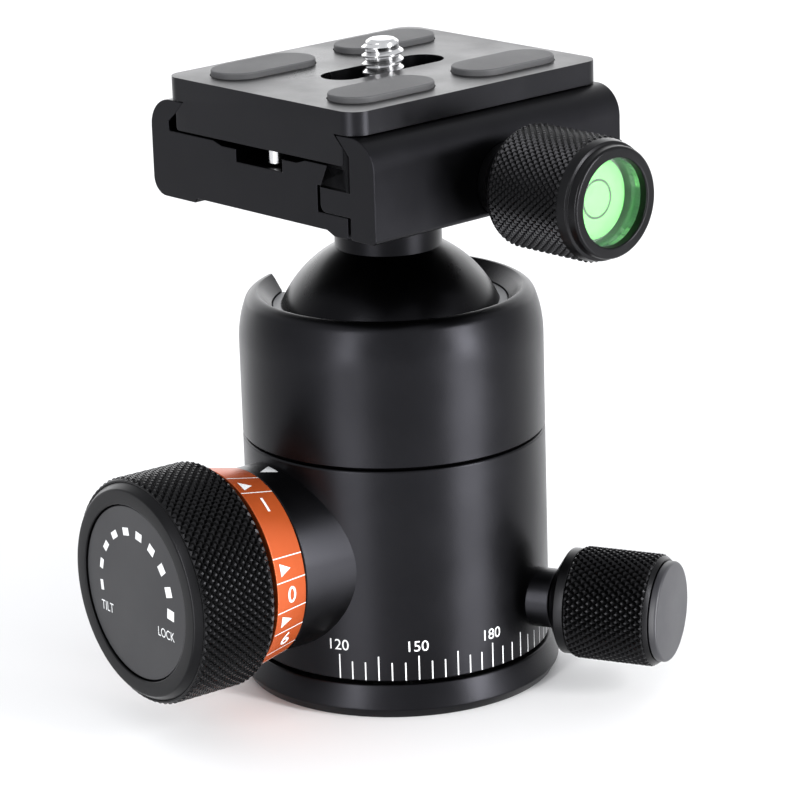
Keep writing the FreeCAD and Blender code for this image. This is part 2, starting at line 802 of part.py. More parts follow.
def make_lock_group():
    lay_lock(turned_body("lock_bush", [
        ("lock_spindle_radius + running_gap", "lock_bush_start"),
        ("lock_bush_radius", "lock_bush_start"),
        ("lock_bush_radius", "lock_boss_reach"),
        ("lock_spindle_radius + running_gap", "lock_boss_reach"),
    ]))
    lay_lock(turned_body("lock_spindle", [
        ("0", "lock_stud_end"),
        ("lock_stud_radius", "lock_stud_end"),
        ("lock_stud_radius", "lock_bush_start"),
        ("lock_spindle_radius", "lock_bush_start"),
        ("lock_spindle_radius", "lock_spindle_end"),
        ("0", "lock_spindle_end"),
    ]))
    lay_lock(turned_body("tension_ring", [
        ("ring_start_radius - ring_wall", "ring_start"),
        ("ring_start_radius", "ring_start"),
        ("ring_end_radius", "ring_end"),
        ("lock_hub_radius + seat_gap", "ring_end"),
        ("lock_hub_radius + seat_gap", "ring_end - ring_web"),
        ("ring_start_radius - ring_wall", "ring_end - ring_web"),
    ]))
    cap_seat = "lock_knob_end - lock_cap_thickness - lock_cap_recess"
    lay_lock(turned_body("lock_knob", [
        ("lock_spindle_radius", "lock_hub_start"),
        ("lock_hub_radius", "lock_hub_start"),
        ("lock_hub_radius", "lock_knob_start"),
        ("lock_knob_rear_radius", "lock_knob_start"),
        ("lock_knob_radius", "lock_knob_start + lock_knob_chamfer"),
        ("lock_knob_radius", "lock_knob_end - lock_knob_chamfer"),
        ("lock_knob_rim", "lock_knob_end"),
        ("lock_cap_radius", "lock_knob_end"),
        ("lock_cap_radius", cap_seat),
        ("lock_spindle_radius", cap_seat),
    ]))
    lay_lock(turned_body("lock_knob_cap", [
        ("0", cap_seat),
        ("lock_cap_radius", cap_seat),
        ("lock_cap_radius", cap_seat + " + lock_cap_thickness - cap_edge"),
        ("lock_cap_radius - cap_edge", cap_seat + " + lock_cap_thickness"),
        ("0", cap_seat + " + lock_cap_thickness"),
    ]))


# Pan knob, its spindle and brake shoe

def make_pan_group():
    stud_base = "shoe_start + shoe_length + running_gap"
    lay_pan(turned_body("pan_spindle", [
        ("0", "pan_stud_start"),
        ("pan_stud_radius", "pan_stud_start"),
        ("pan_stud_radius", stud_base),
        ("pan_spindle_radius", stud_base),
        ("pan_spindle_radius", "pan_spindle_end"),
        ("0", "pan_spindle_end"),
    ]))
    lay_pan(turned_body("pan_brake_shoe", [
        ("pan_stud_radius + running_gap", "shoe_start"),
        ("pan_spindle_radius - shoe_edge", "shoe_start"),
        ("pan_spindle_radius", "shoe_start + shoe_edge"),
        ("pan_spindle_radius", "shoe_start + shoe_length"),
        ("pan_stud_radius + running_gap", "shoe_start + shoe_length"),
    ]))
    cap_seat = "pan_knob_end - pan_cap_thickness"
    lay_pan(turned_body("pan_knob", [
        ("pan_spindle_radius", "pan_knob_start"),
        ("pan_knob_rear_radius", "pan_knob_start"),
        ("pan_knob_ring_radius", "pan_knob_ring_start"),
        ("pan_knob_ring_radius", "pan_knob_knurl_start - pan_knob_step"),
        ("pan_knob_radius", "pan_knob_knurl_start"),
        ("pan_knob_radius", "pan_knob_knurl_end"),
        ("pan_cap_radius", cap_seat),
        ("pan_spindle_radius", cap_seat),
    ]))
    lay_pan(turned_body("pan_knob_cap", [
        ("0", cap_seat),
        ("pan_cap_radius", cap_seat),
        ("pan_cap_radius", "pan_knob_end - cap_edge"),
        ("pan_cap_radius - cap_edge", "pan_knob_end"),
        ("0", "pan_knob_end"),
    ]))


# Clamp, drawn along X with the moving jaw on the -Y side

def make_clamp_body():
    body = new_body("clamp_body")
    sketch = new_sketch(body, "section_sketch", "YZ_Plane")
    inner = "dovetail_half + dovetail_relief"
    slope_top = "dovetail_neck + dovetail_gap"
    slope_low = "dovetail_half + dovetail_gap"
    slope_drop = "clamp_top - dovetail_flank"
    draw_outline(sketch, [
        ("-jaw_split", "clamp_bottom"),
        ("-rib_left", "clamp_bottom"),
        ("-rib_inner", "clamp_web"),
        ("rib_inner", "clamp_web"),
        ("rib_right", "clamp_bottom"),
        ("clamp_half_width - clamp_foot_curve", "clamp_bottom", "clamp_foot_curve", -1),
        ("clamp_half_width", "clamp_bottom + clamp_foot_curve"),
        ("clamp_half_width", "clamp_top - clamp_top_curve", "clamp_top_curve", -1),
        ("clamp_half_width - clamp_top_curve", "clamp_top"),
        (slope_top, "clamp_top"),
        (slope_low, slope_drop),
        (inner, "clamp_floor + relief_height"),
        (inner, "clamp_floor"),
        ("dip_outer", "clamp_floor"),
        ("dip_inner", "clamp_floor_dip"),
        ("-dip_inner", "clamp_floor_dip"),
        ("-dip_outer", "clamp_floor"),
        ("-(jaw_split - small_edge)", "clamp_floor", "small_edge", -1),
        ("-jaw_split", "clamp_floor - small_edge"),
        ("-jaw_split", "tongue_top + running_gap"),
        ("-(tongue_reach - jaw_gap)", "tongue_top + running_gap"),
        ("-(tongue_reach - jaw_gap)", "tongue_bottom - running_gap"),
        ("-jaw_split", "tongue_bottom - running_gap"),
    ])
    pad(body, "section", sketch, "clamp_length", middle=True)
    for side, sign in (("left", "-1"), ("right", "1")):
        recess = raised_sketch(body, side + "_recess_sketch", "pin_recess_bottom")
        near = sign + " * stop_block"
        far = sign + " * (clamp_length / 2 + overcut)"
        left, right = (far, near) if sign == "-1" else (near, far)
        draw_outline(recess, rectangle(left, right, "-pin_recess_width / 2", "pin_recess_width / 2"))
        recess_height = "pin_recess_depth + overcut"
        pocket(body, side + "_pin_recess", recess, recess_height, backwards=True)
    head_seat = "fixing_head_bottom - fixing_washer_thickness"
    revolve(body, "fixing_seat", [
        ("0", "clamp_bottom - overcut"),
        ("fixing_radius + seat_gap", "clamp_bottom - overcut"),
        ("fixing_radius + seat_gap", head_seat),
        ("fixing_head_radius + fixing_head_clearance", head_seat),
        ("fixing_head_radius + fixing_head_clearance", "clamp_floor + overcut"),
        ("0", "clamp_floor + overcut"),
    ], cut=True)
    hole_end = "clamp_spindle_start - small_edge"
    holes = new_sketch(body, "spindle_hole_sketch", "XZ_Plane",
                       Placement(Vector(0, 0, value(hole_end)), Rotation()))
    holes.setExpression("AttachmentOffset.Base.z", named(hole_end))
    draw_circle(holes, "clamp_knob_offset", "clamp_axis_height", "clamp_spindle_radius + running_gap")
    pocket(body, "spindle_hole", holes, "clamp_half_width", backwards=True)
    return body


def make_moving_jaw():
    body = new_body("moving_jaw")
    sketch = new_sketch(body, "jaw_section_sketch", "YZ_Plane")
    face = "-(jaw_split + jaw_gap)"
    slope_top = "-(dovetail_neck + dovetail_gap)"
    slope_low = "-(dovetail_half + dovetail_gap)"
    slope_drop = "clamp_top - dovetail_flank"
    draw_outline(sketch, [
        (face, "tongue_bottom"),
        ("-(tongue_reach + tongue_edge)", "tongue_bottom"),
        ("-tongue_reach", "tongue_bottom + tongue_edge"),
        ("-tongue_reach", "tongue_top"),
        (face, "tongue_top"),
        (face, slope_drop + " - jaw_relief"),
        (slope_low, slope_drop),
        (slope_top, "clamp_top"),
        ("-(jaw_outside - clamp_top_curve)", "clamp_top", "clamp_top_curve", -1),
        ("-jaw_outside", "clamp_top - clamp_top_curve"),
        ("-jaw_outside", "clamp_bottom + jaw_foot_curve", "jaw_foot_curve", -1),
        ("-(jaw_outside - jaw_foot_curve)", "clamp_bottom"),
        (face + " - small_edge", "clamp_bottom"),
        (face, "clamp_bottom + small_edge"),
    ])
    pad(body, "jaw_section", sketch, "clamp_length", middle=True)
    hole = new_sketch(body, "jaw_hole_sketch", "XZ_Plane")
    draw_circle(hole, "clamp_knob_offset", "clamp_axis_height", "clamp_spindle_radius + seat_gap")
    pocket(body, "jaw_hole", hole, "2 * jaw_outside", middle=True)
    return body


# Screws and pins of the clamp

def make_clamp_fittings():
    head_seat = "fixing_head_bottom - fixing_washer_thickness"
    head_top = "fixing_head_bottom + fixing_head_height"
    screw = turned_body("fixing_screw", [
        ("0", head_seat + " - fixing_grip"),
        ("fixing_radius", head_seat + " - fixing_grip"),
        ("fixing_radius", "fixing_head_bottom"),
        ("fixing_head_radius", "fixing_head_bottom"),
        ("fixing_head_radius", head_top),
        ("0", head_top),
    ])
    cut_hex_socket(screw, "fixing_socket", head_top, "socket_across", "socket_depth")
    turn_clamp(screw)
    turn_clamp(turned_body("fixing_washer", [
        ("fixing_radius + running_gap", head_seat),
        ("fixing_head_radius + washer_overhang", head_seat),
        ("fixing_head_radius + washer_overhang", "fixing_head_bottom"),
        ("fixing_radius + running_gap", "fixing_head_bottom"),
    ]))
    pins = new_body("guide_pins")
    sketch = new_sketch(pins, "guide_pins_sketch", "XZ_Plane")
    sketch.AttachmentOffset = Placement(Vector(0, 0, value("guide_pin_start")), Rotation())
    sketch.setExpression("AttachmentOffset.Base.z", named("guide_pin_start"))
    for sign in ("-", ""):
        draw_circle(sketch, sign + "guide_pin_along", "clamp_axis_height", "guide_pin_radius")
    pad(pins, "pins", sketch, "guide_pin_end - guide_pin_start")
    turn_clamp(pins)


def cut_pin_holes(body, gap, reach):
    """Bores for the two guide pins, from the -Y side towards the middle."""
    sketch = new_sketch(body, body.Label + "_pin_holes_sketch", "XZ_Plane")
    offset = "guide_pin_end" if reach == "jaw" else "guide_pin_start - overcut"
    sketch.AttachmentOffset = Placement(Vector(0, 0, value(offset)), Rotation())
    sketch.setExpression("AttachmentOffset.Base.z", named(offset))
    for sign in ("-", ""):
        draw_circle(sketch, sign + "guide_pin_along", "clamp_axis_height", "guide_pin_radius + " + gap)
    pocket(body, body.Label + "_pin_holes", sketch, "jaw_outside", backwards=reach == "body")


# Quick release plate and its camera screw

def make_plate():
    body = new_body("quick_release_plate")
    section = new_sketch(body, "plate_section_sketch", "YZ_Plane")
    draw_outline(section, [
        ("-(dovetail_half - dovetail_edge)", "plate_bottom"),
        ("dovetail_half - dovetail_edge", "plate_bottom", "dovetail_edge", -1),
        ("dovetail_half", "plate_bottom + dovetail_edge"),
        ("dovetail_half", "flange_bottom - dovetail_flank"),
        ("dovetail_neck", "flange_bottom"),
        ("plate_half_width", "flange_bottom"),
        ("plate_half_width", "plate_top"),
        ("-plate_half_width", "plate_top"),
        ("-plate_half_width", "flange_bottom"),
        ("-dovetail_neck", "flange_bottom"),
        ("-dovetail_half", "flange_bottom - dovetail_flank"),
        ("-dovetail_half", "plate_bottom + dovetail_edge", "dovetail_edge", -1),
    ])
    pad(body, "plate_section", section, "plate_length", middle=True)
    slot = raised_sketch(body, "slot_sketch", "plate_top")
    draw_outline(slot, stadium("0", "0", "slot_length", "slot_width"))
    pocket(body, "slot", slot, "plate_top - plate_bottom + overcut")
    under = raised_sketch(body, "head_pocket_sketch", "head_pocket_top")
    draw_outline(under, stadium("0", "0", "head_pocket_length", "head_pocket_width"))
    pocket(body, "head_pocket", under, "head_pocket_top - plate_bottom + overcut")
    seats = raised_sketch(body, "pad_seats_sketch", "plate_top")
    for across in ("-pad_across", "pad_across"):
        for lengthways in ("-pad_along", "pad_along"):
            draw_outline(seats, stadium(lengthways, across, "pad_length", "pad_width"))
    pocket(body, "pad_seats", seats, "pad_sink")
    pins = raised_sketch(body, "pin_holes_sketch", "plate_bottom + stop_pin_root")
    for sign in ("-", ""):
        draw_circle(pins, sign + "stop_pin_reach", "-stop_pin_side", "stop_pin_radius")
    pocket(body, "pin_holes", pins, "stop_pin_root + overcut")
    corners = raised_sketch(body, "corners_sketch", "plate_top + overcut")
    far = "plate_length / 2"
    side = "plate_half_width"
    long = far + " + overcut"
    wide = side + " + overcut"
    draw_outline(corners, rectangle("-(%s)" % long, long, "-(%s)" % wide, wide))
    draw_outline(corners, [
        ("-(%s - plate_corner)" % far, "-" + side),
        ("%s - plate_corner" % far, "-" + side, "plate_corner", -1),
        (far, "-(%s - plate_corner)" % side),
        (far, "%s - plate_corner" % side, "plate_corner", -1),
        ("%s - plate_corner" % far, side),
        ("-(%s - plate_corner)" % far, side, "plate_corner", -1),
        ("-" + far, "%s - plate_corner" % side),
        ("-" + far, "-(%s - plate_corner)" % side, "plate_corner", -1),
    ])
    pocket(body, "corners", corners, "plate_top - plate_bottom + 2 * overcut")
    turn_clamp(body)


def make_plate_fittings():
    pads = new_body("grip_pads")
    sketch = raised_sketch(pads, "grip_pads_sketch", "plate_top - pad_sink")
    for across in ("-pad_across", "pad_across"):
        for lengthways in ("-pad_along", "pad_along"):
            draw_outline(sketch, stadium(lengthways, across, "pad_length", "pad_width"))
    pad(pads, "pads", sketch, "pad_sink + pad_height")
    turn_clamp(pads)
    pins = new_body("stop_pins")
    pin_sketch = raised_sketch(pins, "stop_pins_sketch", "plate_bottom - stop_pin_length")
    for sign in ("-", ""):
        draw_circle(pin_sketch, sign + "stop_pin_reach", "-stop_pin_side", "stop_pin_radius")
    pad(pins, "stop_pins_pad", pin_sketch, "stop_pin_length + stop_pin_root")
    turn_clamp(pins)


def make_camera_screw():
    screw = turned_body("camera_screw", [
        ("0", "screw_head_bottom"),
        ("screw_head_radius", "screw_head_bottom"),
        ("screw_head_radius", "screw_head_top"),
        ("screw_neck_radius", "screw_head_top"),
        ("screw_neck_radius", "screw_neck_top"),
        ("screw_radius", "screw_thread_bottom"),
        ("screw_radius", "screw_top - small_edge"),
        ("screw_radius - small_edge", "screw_top"),
        ("0", "screw_top"),
    ])
    slot = raised_sketch(screw, "coin_slot_sketch", "screw_head_bottom")
    reach = "screw_head_radius + overcut"
    draw_outline(slot, rectangle("-(%s)" % reach, reach, "-coin_slot_width / 2", "coin_slot_width / 2"))
    pocket(screw, "coin_slot", slot, "coin_slot_depth", backwards=True)
    turn_clamp(screw)
    turn_clamp(turned_body("screw_clip", [
        ("screw_neck_radius + running_gap", "screw_head_top + running_gap"),
        ("keeper_clip_radius", "screw_head_top + running_gap"),
        ("keeper_clip_radius", "screw_head_top + running_gap + clip_thickness"),
        ("screw_neck_radius + running_gap", "screw_head_top + running_gap + clip_thickness"),
    ]))


# Clamp knob with its bubble level, drawn along its own axis from the head's axis outwards

def make_clamp_knob():
    lay_clamp_knob(turned_body("clamp_spindle", [
        ("0", "clamp_spindle_start"),
        ("clamp_spindle_radius", "clamp_spindle_start"),
        ("clamp_spindle_radius", "clamp_spindle_end"),
        ("0", "clamp_spindle_end"),
    ]))
    lay_clamp_knob(turned_body("knob_collar", [
        ("clamp_spindle_radius", "jaw_outside"),
        ("collar_radius", "jaw_outside"),
        ("collar_radius", "jaw_outside + collar_length"),
        ("clamp_spindle_radius", "jaw_outside + collar_length"),
    ]))
    seat = "clamp_knob_end - level_pocket_depth"
    lay_clamp_knob(turned_body("clamp_knob", [
        ("clamp_spindle_radius", "jaw_outside + collar_length"),
        ("clamp_knob_rear_radius", "jaw_outside + collar_length"),
        ("clamp_knob_radius", "clamp_knob_shoulder"),
        ("clamp_knob_radius", "clamp_knob_knurl_end"),
        ("clamp_knob_radius - clamp_knob_band_drop", "clamp_knob_knurl_end + clamp_knob_band"),
        ("clamp_knob_rim", "clamp_knob_end - bezel_rim"),
        ("level_pocket_radius", "clamp_knob_end - bezel_rim"),
        ("level_pocket_radius", seat),
        ("0", seat),
        ("0", "clamp_spindle_end"),
        ("clamp_spindle_radius", "clamp_spindle_end"),
    ]))
    lay_clamp_knob(turned_body("level_case", [
        ("0", seat),
        ("level_pocket_radius", seat),
        ("level_pocket_radius", "clamp_knob_end - level_bezel_depth"),
        ("level_pocket_radius - level_case_wall", "clamp_knob_end - level_bezel_depth"),
        ("level_pocket_radius - level_case_wall", seat + " + level_case_wall"),
        ("0", seat + " + level_case_wall"),
    ]))
    disc = seat + " + level_case_wall"
    lay_clamp_knob(turned_body("level_fluid", [
        ("0", disc),
        ("level_disc_radius", disc),
        ("level_disc_radius", disc + " + level_disc_thickness"),
        ("0", disc + " + level_disc_thickness"),
    ]))
    lens = "clamp_knob_end - level_bezel_depth - level_lens_thickness"
    lay_clamp_knob(turned_body("level_lens", [
        ("0", lens),
        ("level_pocket_radius - level_case_wall", lens),
        ("level_pocket_radius - level_case_wall", "clamp_knob_end - level_bezel_depth"),
        ("0", "clamp_knob_end - level_bezel_depth"),
    ]))
    lay_clamp_knob(turned_body("level_bezel", [
        ("level_opening_radius", "clamp_knob_end - level_bezel_depth"),
        ("level_pocket_radius", "clamp_knob_end - level_bezel_depth"),
        ("level_pocket_radius", "clamp_knob_end - bezel_rim"),
        ("clamp_knob_rim", "clamp_knob_end - bezel_rim"),
        ("clamp_knob_rim - bezel_edge", "clamp_knob_end"),
        ("level_opening_radius + bezel_edge", "clamp_knob_end"),
        ("level_opening_radius", "clamp_knob_end - bezel_edge"),
    ]))


make_pan_base()
make_base_fittings()
make_lower_housing()
make_upper_housing()
make_mouth_liner()
make_ball()
make_stem()
make_ball_cup()
make_lock_wedge()
make_wedge_bed()
make_lock_group()
make_pan_group()
clamp = make_clamp_body()
cut_pin_holes(clamp, "running_gap", "body")
turn_clamp(clamp)
jaw = make_moving_jaw()
cut_pin_holes(jaw, "0", "jaw")
turn_clamp(jaw)
make_clamp_fittings()
make_plate()
make_plate_fittings()
make_camera_screw()
make_clamp_knob()

doc.recompute()
for item in doc.Objects:
    if "Invalid" in item.State or "Error" in item.State:
        raise RuntimeError("failed: %s %s" % (item.Name, item.State))
os.makedirs("parts", exist_ok=True)
for node in NODES:
    shape = node.Shape
    if shape.isNull() or not shape.isValid():
        raise RuntimeError("bad shape: " + node.Label)
    shape.exportStep("parts/%s.step" % node.Label)
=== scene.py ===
# Tripod ball head: finished surfaces, knurls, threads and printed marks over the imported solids.
# Sizes are in millimetres in the tables below and in metres in the scene.
import bmesh
import bpy
import math
from mathutils import Matrix, Vector


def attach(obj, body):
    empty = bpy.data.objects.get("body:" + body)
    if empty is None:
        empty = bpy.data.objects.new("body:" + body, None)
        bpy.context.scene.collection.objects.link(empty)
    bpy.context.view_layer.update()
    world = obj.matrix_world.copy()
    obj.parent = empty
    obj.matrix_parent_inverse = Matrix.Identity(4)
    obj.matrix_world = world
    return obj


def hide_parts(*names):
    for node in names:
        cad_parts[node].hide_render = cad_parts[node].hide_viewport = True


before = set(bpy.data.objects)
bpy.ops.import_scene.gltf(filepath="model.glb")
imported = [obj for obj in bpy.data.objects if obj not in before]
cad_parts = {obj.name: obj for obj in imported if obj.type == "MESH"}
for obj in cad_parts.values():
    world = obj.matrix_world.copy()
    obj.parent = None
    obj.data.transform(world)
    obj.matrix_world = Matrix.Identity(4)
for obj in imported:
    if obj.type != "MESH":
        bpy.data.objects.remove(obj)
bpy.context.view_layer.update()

MM = 0.001
scene = bpy.context.scene


# Places of the turned pieces

def outward(degrees, height, start=(0.0, 0.0)):
    """Local Z points level away from the head's axis, local Y up and local X to the viewer's right."""
    a = math.radians(degrees)
    right = (-math.sin(a), math.cos(a), 0.0)
    out = (math.cos(a), math.sin(a), 0.0)
    columns = [right, (0.0, 0.0, 1.0), out, (start[0], start[1], height)]
    rows = [[columns[c][r] for c in range(4)] for r in range(3)]
    return Matrix(rows + [[0.0, 0.0, 0.0, 1.0]])


UPRIGHT = Matrix.Identity(4)
CLAMP_TURN = 5.6
CLAMP = Matrix.Rotation(math.radians(CLAMP_TURN), 4, "Z")
LOCK = outward(180.0, 23.24)
PAN = outward(-60.0, 13.47)
KNOB_START = CLAMP @ Vector((0.6, 0.0, 0.0))
CLAMP_KNOB = outward(-90.0 + CLAMP_TURN, 82.1, (KNOB_START.x, KNOB_START.y))

# Sizes that more than one piece uses

BALL_CENTRE = 51.85
BALL_RADIUS = 18.4
CLAMP_HALF = 25.2
PLATE_HALF_LENGTH = 25.25
PLATE_HALF_WIDTH = 21.4
PLATE_CORNER = 3.0
PLATE_TOP = 95.7
PAD_SPOTS = [(x, y) for x in (-12.4, 12.4) for y in (-13.2, 13.2)]
PAD_FLOOR = 94.9
BAND_START = 28.1
BAND_LENGTH = 6.0
BAND_SMALL = 14.65
BAND_LARGE = 15.9
MARK_LIFT = 0.03
LETTER_CELL = 0.15
LETTER_CUTS = 20


# Mesh helpers

def make_object(name, verts, faces, place=UPRIGHT, sharp=28.0):
    """Mesh object from millimetre points, shaded smooth except over edges sharper than the angle."""
    mesh = bpy.data.meshes.new(name)
    points = [(place @ Vector(v)) * MM for v in verts]
    mesh.from_pydata([tuple(p) for p in points], [], faces)
    mesh.update()
    work = bmesh.new()
    work.from_mesh(mesh)
    bmesh.ops.recalc_face_normals(work, faces=work.faces)
    work.to_mesh(mesh)
    work.free()
    smooth(mesh, sharp)
    item = bpy.data.objects.new(name, mesh)
    scene.collection.objects.link(item)
    return item


def smooth(mesh, sharp):
    for polygon in mesh.polygons:
        polygon.use_smooth = True
    mesh.set_sharp_from_angle(angle=math.radians(sharp))


def rounded(corners, step=12.0):
    """Closed outline with each corner (x, y) or (x, y, radius) turned into an arc."""
    points = []
    count = len(corners)
    for index, corner in enumerate(corners):
        here = Vector(corner[:2])
        radius = corner[2] if len(corner) > 2 else 0.0
        if radius <= 0.0:
            points.append(tuple(here))
            continue
        back = (Vector(corners[index - 1][:2]) - here).normalized()
        ahead = (Vector(corners[(index + 1) % count][:2]) - here).normalized()
        half = back.angle(ahead) / 2
        inset = radius / math.tan(half)
        centre = here + (back + ahead).normalized() * (radius / math.sin(half))
        first = here + back * inset - centre
        sweep = math.pi - 2 * half
        side = 1.0 if back.x * ahead.y - back.y * ahead.x < 0 else -1.0
        parts = max(2, int(math.degrees(sweep) / step) + 1)
        for part in range(parts + 1):
            turn = side * sweep * part / parts
            points.append((
                centre.x + first.x * math.cos(turn) - first.y * math.sin(turn),
                centre.y + first.x * math.sin(turn) + first.y * math.cos(turn),
            ))
    return points


def lathe(name, corners, place=UPRIGHT, segments=192, step=12.0):
    """Solid turned from a closed outline of (radius, height, corner radius)."""
    outline = rounded(corners, step)
    verts = []
    rings = []
    for radius, height in outline:
        if radius < 1e-6:
            rings.append([len(verts)])
            verts.append((0.0, 0.0, height))
            continue
        rings.append(list(range(len(verts), len(verts) + segments)))
        for part in range(segments):
            a = math.tau * part / segments
            verts.append((radius * math.cos(a), radius * math.sin(a), height))
    faces = []
    for index, ring in enumerate(rings):
        after = rings[(index + 1) % len(rings)]
        if len(ring) == 1 and len(after) == 1:
            continue
        for part in range(segments):
            following = (part + 1) % segments
            if len(ring) == 1:
                faces.append((ring[0], after[following], after[part]))
            elif len(after) == 1:
                faces.append((ring[part], ring[following], after[0]))
            else:
                faces.append((ring[part], ring[following], after[following], after[part]))
    return make_object(name, verts, faces, place)


def prism(name, outline, low, high, place=UPRIGHT, axis="Z", sharp=28.0):
    """Solid from an outline pushed along Z, or a section in Y and Z pushed along X."""
    verts = []
    for level in (low, high):
        for x, y in outline:
            verts.append((level, x, y) if axis == "X" else (x, y, level))
    count = len(outline)
    faces = [tuple(reversed(range(count))), tuple(range(count, 2 * count))]
    for index in range(count):
        after = (index + 1) % count
        faces.append((index, after, count + after, count + index))
    return make_object(name, verts, faces, place, sharp)


def stadium(x, y, length, width, parts=16):
    """Slot outline with round ends, lying along X."""
    half = width / 2
    reach = length / 2 - half
    points = []
    for centre, start in ((reach, -90.0), (-reach, 90.0)):
        for part in range(parts + 1):
            a = math.radians(start + 180.0 * part / parts)
            points.append((x + centre + half * math.cos(a), y + half * math.sin(a)))
    return points


def combine(item, tool, how="DIFFERENCE", sharp=28.0):
    """Cut item with tool, or join them, and drop the tool."""
    change = item.modifiers.new("cut", "BOOLEAN")
    change.operation = how
    change.solver = "EXACT"
    change.object = tool
    bpy.context.view_layer.update()
    seen = item.evaluated_get(bpy.context.evaluated_depsgraph_get())
    mesh = bpy.data.meshes.new_from_object(seen)
    item.modifiers.clear()
    item.data = mesh
    bpy.data.objects.remove(tool)
    smooth(mesh, sharp)
    return item


def soften(item, width, angle=35.0, segments=2):
    """Small rounded edges that catch the light."""
    change = item.modifiers.new("edges", "BEVEL")
    change.width = width * MM
    change.segments = segments
    change.limit_method = "ANGLE"
    change.angle_limit = math.radians(angle)
    change.harden_normals = True
    change.use_clamp_overlap = True
    return item


def knurl(name, radius, start, end, around, length, depth, place, chamfer=0.5, flat=0.30):
    """Diamond knurl: pyramids with small flats between two sets of crossing grooves."""
    rows = int(math.ceil((end - start) / length)) + 2
    first = start - length
    verts = []
    faces = []
    corner_at = {}

    def corner(turn, level):
        key = (turn % (2 * around), level)
        if key not in corner_at:
            a = math.pi * turn / around
            corner_at[key] = len(verts)
            low = radius - depth
            verts.append((low * math.cos(a), low * math.sin(a), first + level * length / 2))
        return corner_at[key]

    for level in range(1, 2 * rows):
        for cell in range(around):
            turn = 2 * cell + (level % 2)
            ring = [
                corner(turn - 1, level), corner(turn, level - 1),
                corner(turn + 1, level), corner(turn, level + 1),
            ]
            middle = (math.pi * turn / around, first + level * length / 2)
            tops = []
            for along, up in ((-1, 0), (0, -1), (1, 0), (0, 1)):
                a = middle[0] + along * flat * math.pi / around
                tops.append(len(verts))
                height = middle[1] + up * flat * length / 2
                verts.append((radius * math.cos(a), radius * math.sin(a), height))
            faces.append(tuple(tops))
            for side in range(4):
                after = (side + 1) % 4
                faces.append((ring[side], ring[after], tops[after], tops[side]))
    work = bmesh.new()
    made = [work.verts.new(v) for v in verts]
    for face in faces:
        work.faces.new([made[i] for i in face])
    for level, side in ((start, -1), (end, 1)):
        for cut, clear in ((level, True), (level - side * chamfer, False)):
            bmesh.ops.bisect_plane(
                work, geom=work.verts[:] + work.edges[:] + work.faces[:],
                plane_co=(0, 0, cut), plane_no=(0, 0, side), clear_outer=clear)
    for vert in work.verts:
        spare = min(vert.co.z - start, end - vert.co.z)
        if spare < chamfer:
            limit = radius - depth * 0.9 * (1 - max(spare, 0.0) / chamfer)
            flat_radius = math.hypot(vert.co.x, vert.co.y)
            if flat_radius > limit:
                vert.co.x *= limit / flat_radius
                vert.co.y *= limit / flat_radius
    open_edges = [edge for edge in work.edges if edge.is_boundary]
    grown = bmesh.ops.extrude_edge_only(work, edges=open_edges)
    inner = radius - depth - 0.25
    for vert in [g for g in grown["geom"] if isinstance(g, bmesh.types.BMVert)]:
        flat_radius = math.hypot(vert.co.x, vert.co.y)
        vert.co.x *= inner / flat_radius
        vert.co.y *= inner / flat_radius
    bmesh.ops.recalc_face_normals(work, faces=work.faces)
    mesh = bpy.data.meshes.new(name)
    for vert in work.verts:
        vert.co = (place @ vert.co) * MM
    work.to_mesh(mesh)
    work.free()
    smooth(mesh, 20.0)
    item = bpy.data.objects.new(name, mesh)
    scene.collection.objects.link(item)
    return item


def thread(name, radius, pitch, low, high, place, depth=0.5, inside=False, parts=48):
    """Screw thread as one helical ridge wound round a core, faded out at both ends."""
    turns = (high - low) / pitch
    steps = int(parts * turns)
    side = -1.0 if inside else 1.0
    root = radius - side * depth
    section = ((0.0, root), (0.06, root), (0.42, radius), (0.58, radius), (0.94, root))
    verts = []
    faces = []
    for step in range(steps + 1):
        a = math.tau * step / parts
        base = low + pitch * (step / parts - 1.0)
        fade = min(1.0, step / (parts * 0.4), (steps - step) / (parts * 0.4))
        for share, reach in section:
            r = root + (reach - root) * max(fade, 0.0)
            z = min(max(base + share * pitch, low), high)
            verts.append((r * math.cos(a), r * math.sin(a), z))
    width = len(section)
    for step in range(steps):
        for index in range(width - 1):
            here = step * width + index
            faces.append((here, here + 1, here + 1 + width, here + width))
        if step + parts <= steps:
            here = step * width + width - 1
            above = (step + parts) * width
            faces.append((here, above, above + width if step + parts < steps else above, here + width))
    return make_object(name, verts, faces, place, 35.0)


def text_mesh(words, size, thick=0.0):
    """Flat points and faces of some lettering, centred, size tall in millimetres, cut into small cells."""
    curve = bpy.data.curves.new("lettering", "FONT")
    curve.body = words
    curve.align_x = "CENTER"
    curve.resolution_u = 6
    curve.offset = thick
    item = bpy.data.objects.new("lettering", curve)
    scene.collection.objects.link(item)
    bpy.context.view_layer.update()
    seen = item.evaluated_get(bpy.context.evaluated_depsgraph_get())
    mesh = bpy.data.meshes.new_from_object(seen)
    work = bmesh.new()
    work.from_mesh(mesh)
    for cut in range(-LETTER_CUTS, LETTER_CUTS + 1):
        for direction in ((1, 0, 0), (0, 1, 0)):
            bmesh.ops.bisect_plane(
                work, geom=work.verts[:] + work.edges[:] + work.faces[:],
                plane_co=Vector(direction) * (cut * LETTER_CELL), plane_no=direction)
    work.verts.index_update()
    points = [Vector((v.co.x, v.co.y)) for v in work.verts]
    faces = [tuple(v.index for v in face.verts) for face in work.faces]
    work.free()
    bpy.data.objects.remove(item)
    bpy.data.curves.remove(curve)
    bpy.data.meshes.remove(mesh)
    top = max(p.y for p in points)
    low = min(p.y for p in points)
    middle = (max(p.x for p in points) + min(p.x for p in points)) / 2
    scale = size / (top - low)
    return [((p.x - middle) * scale, (p.y - (top + low) / 2) * scale) for p in points], faces


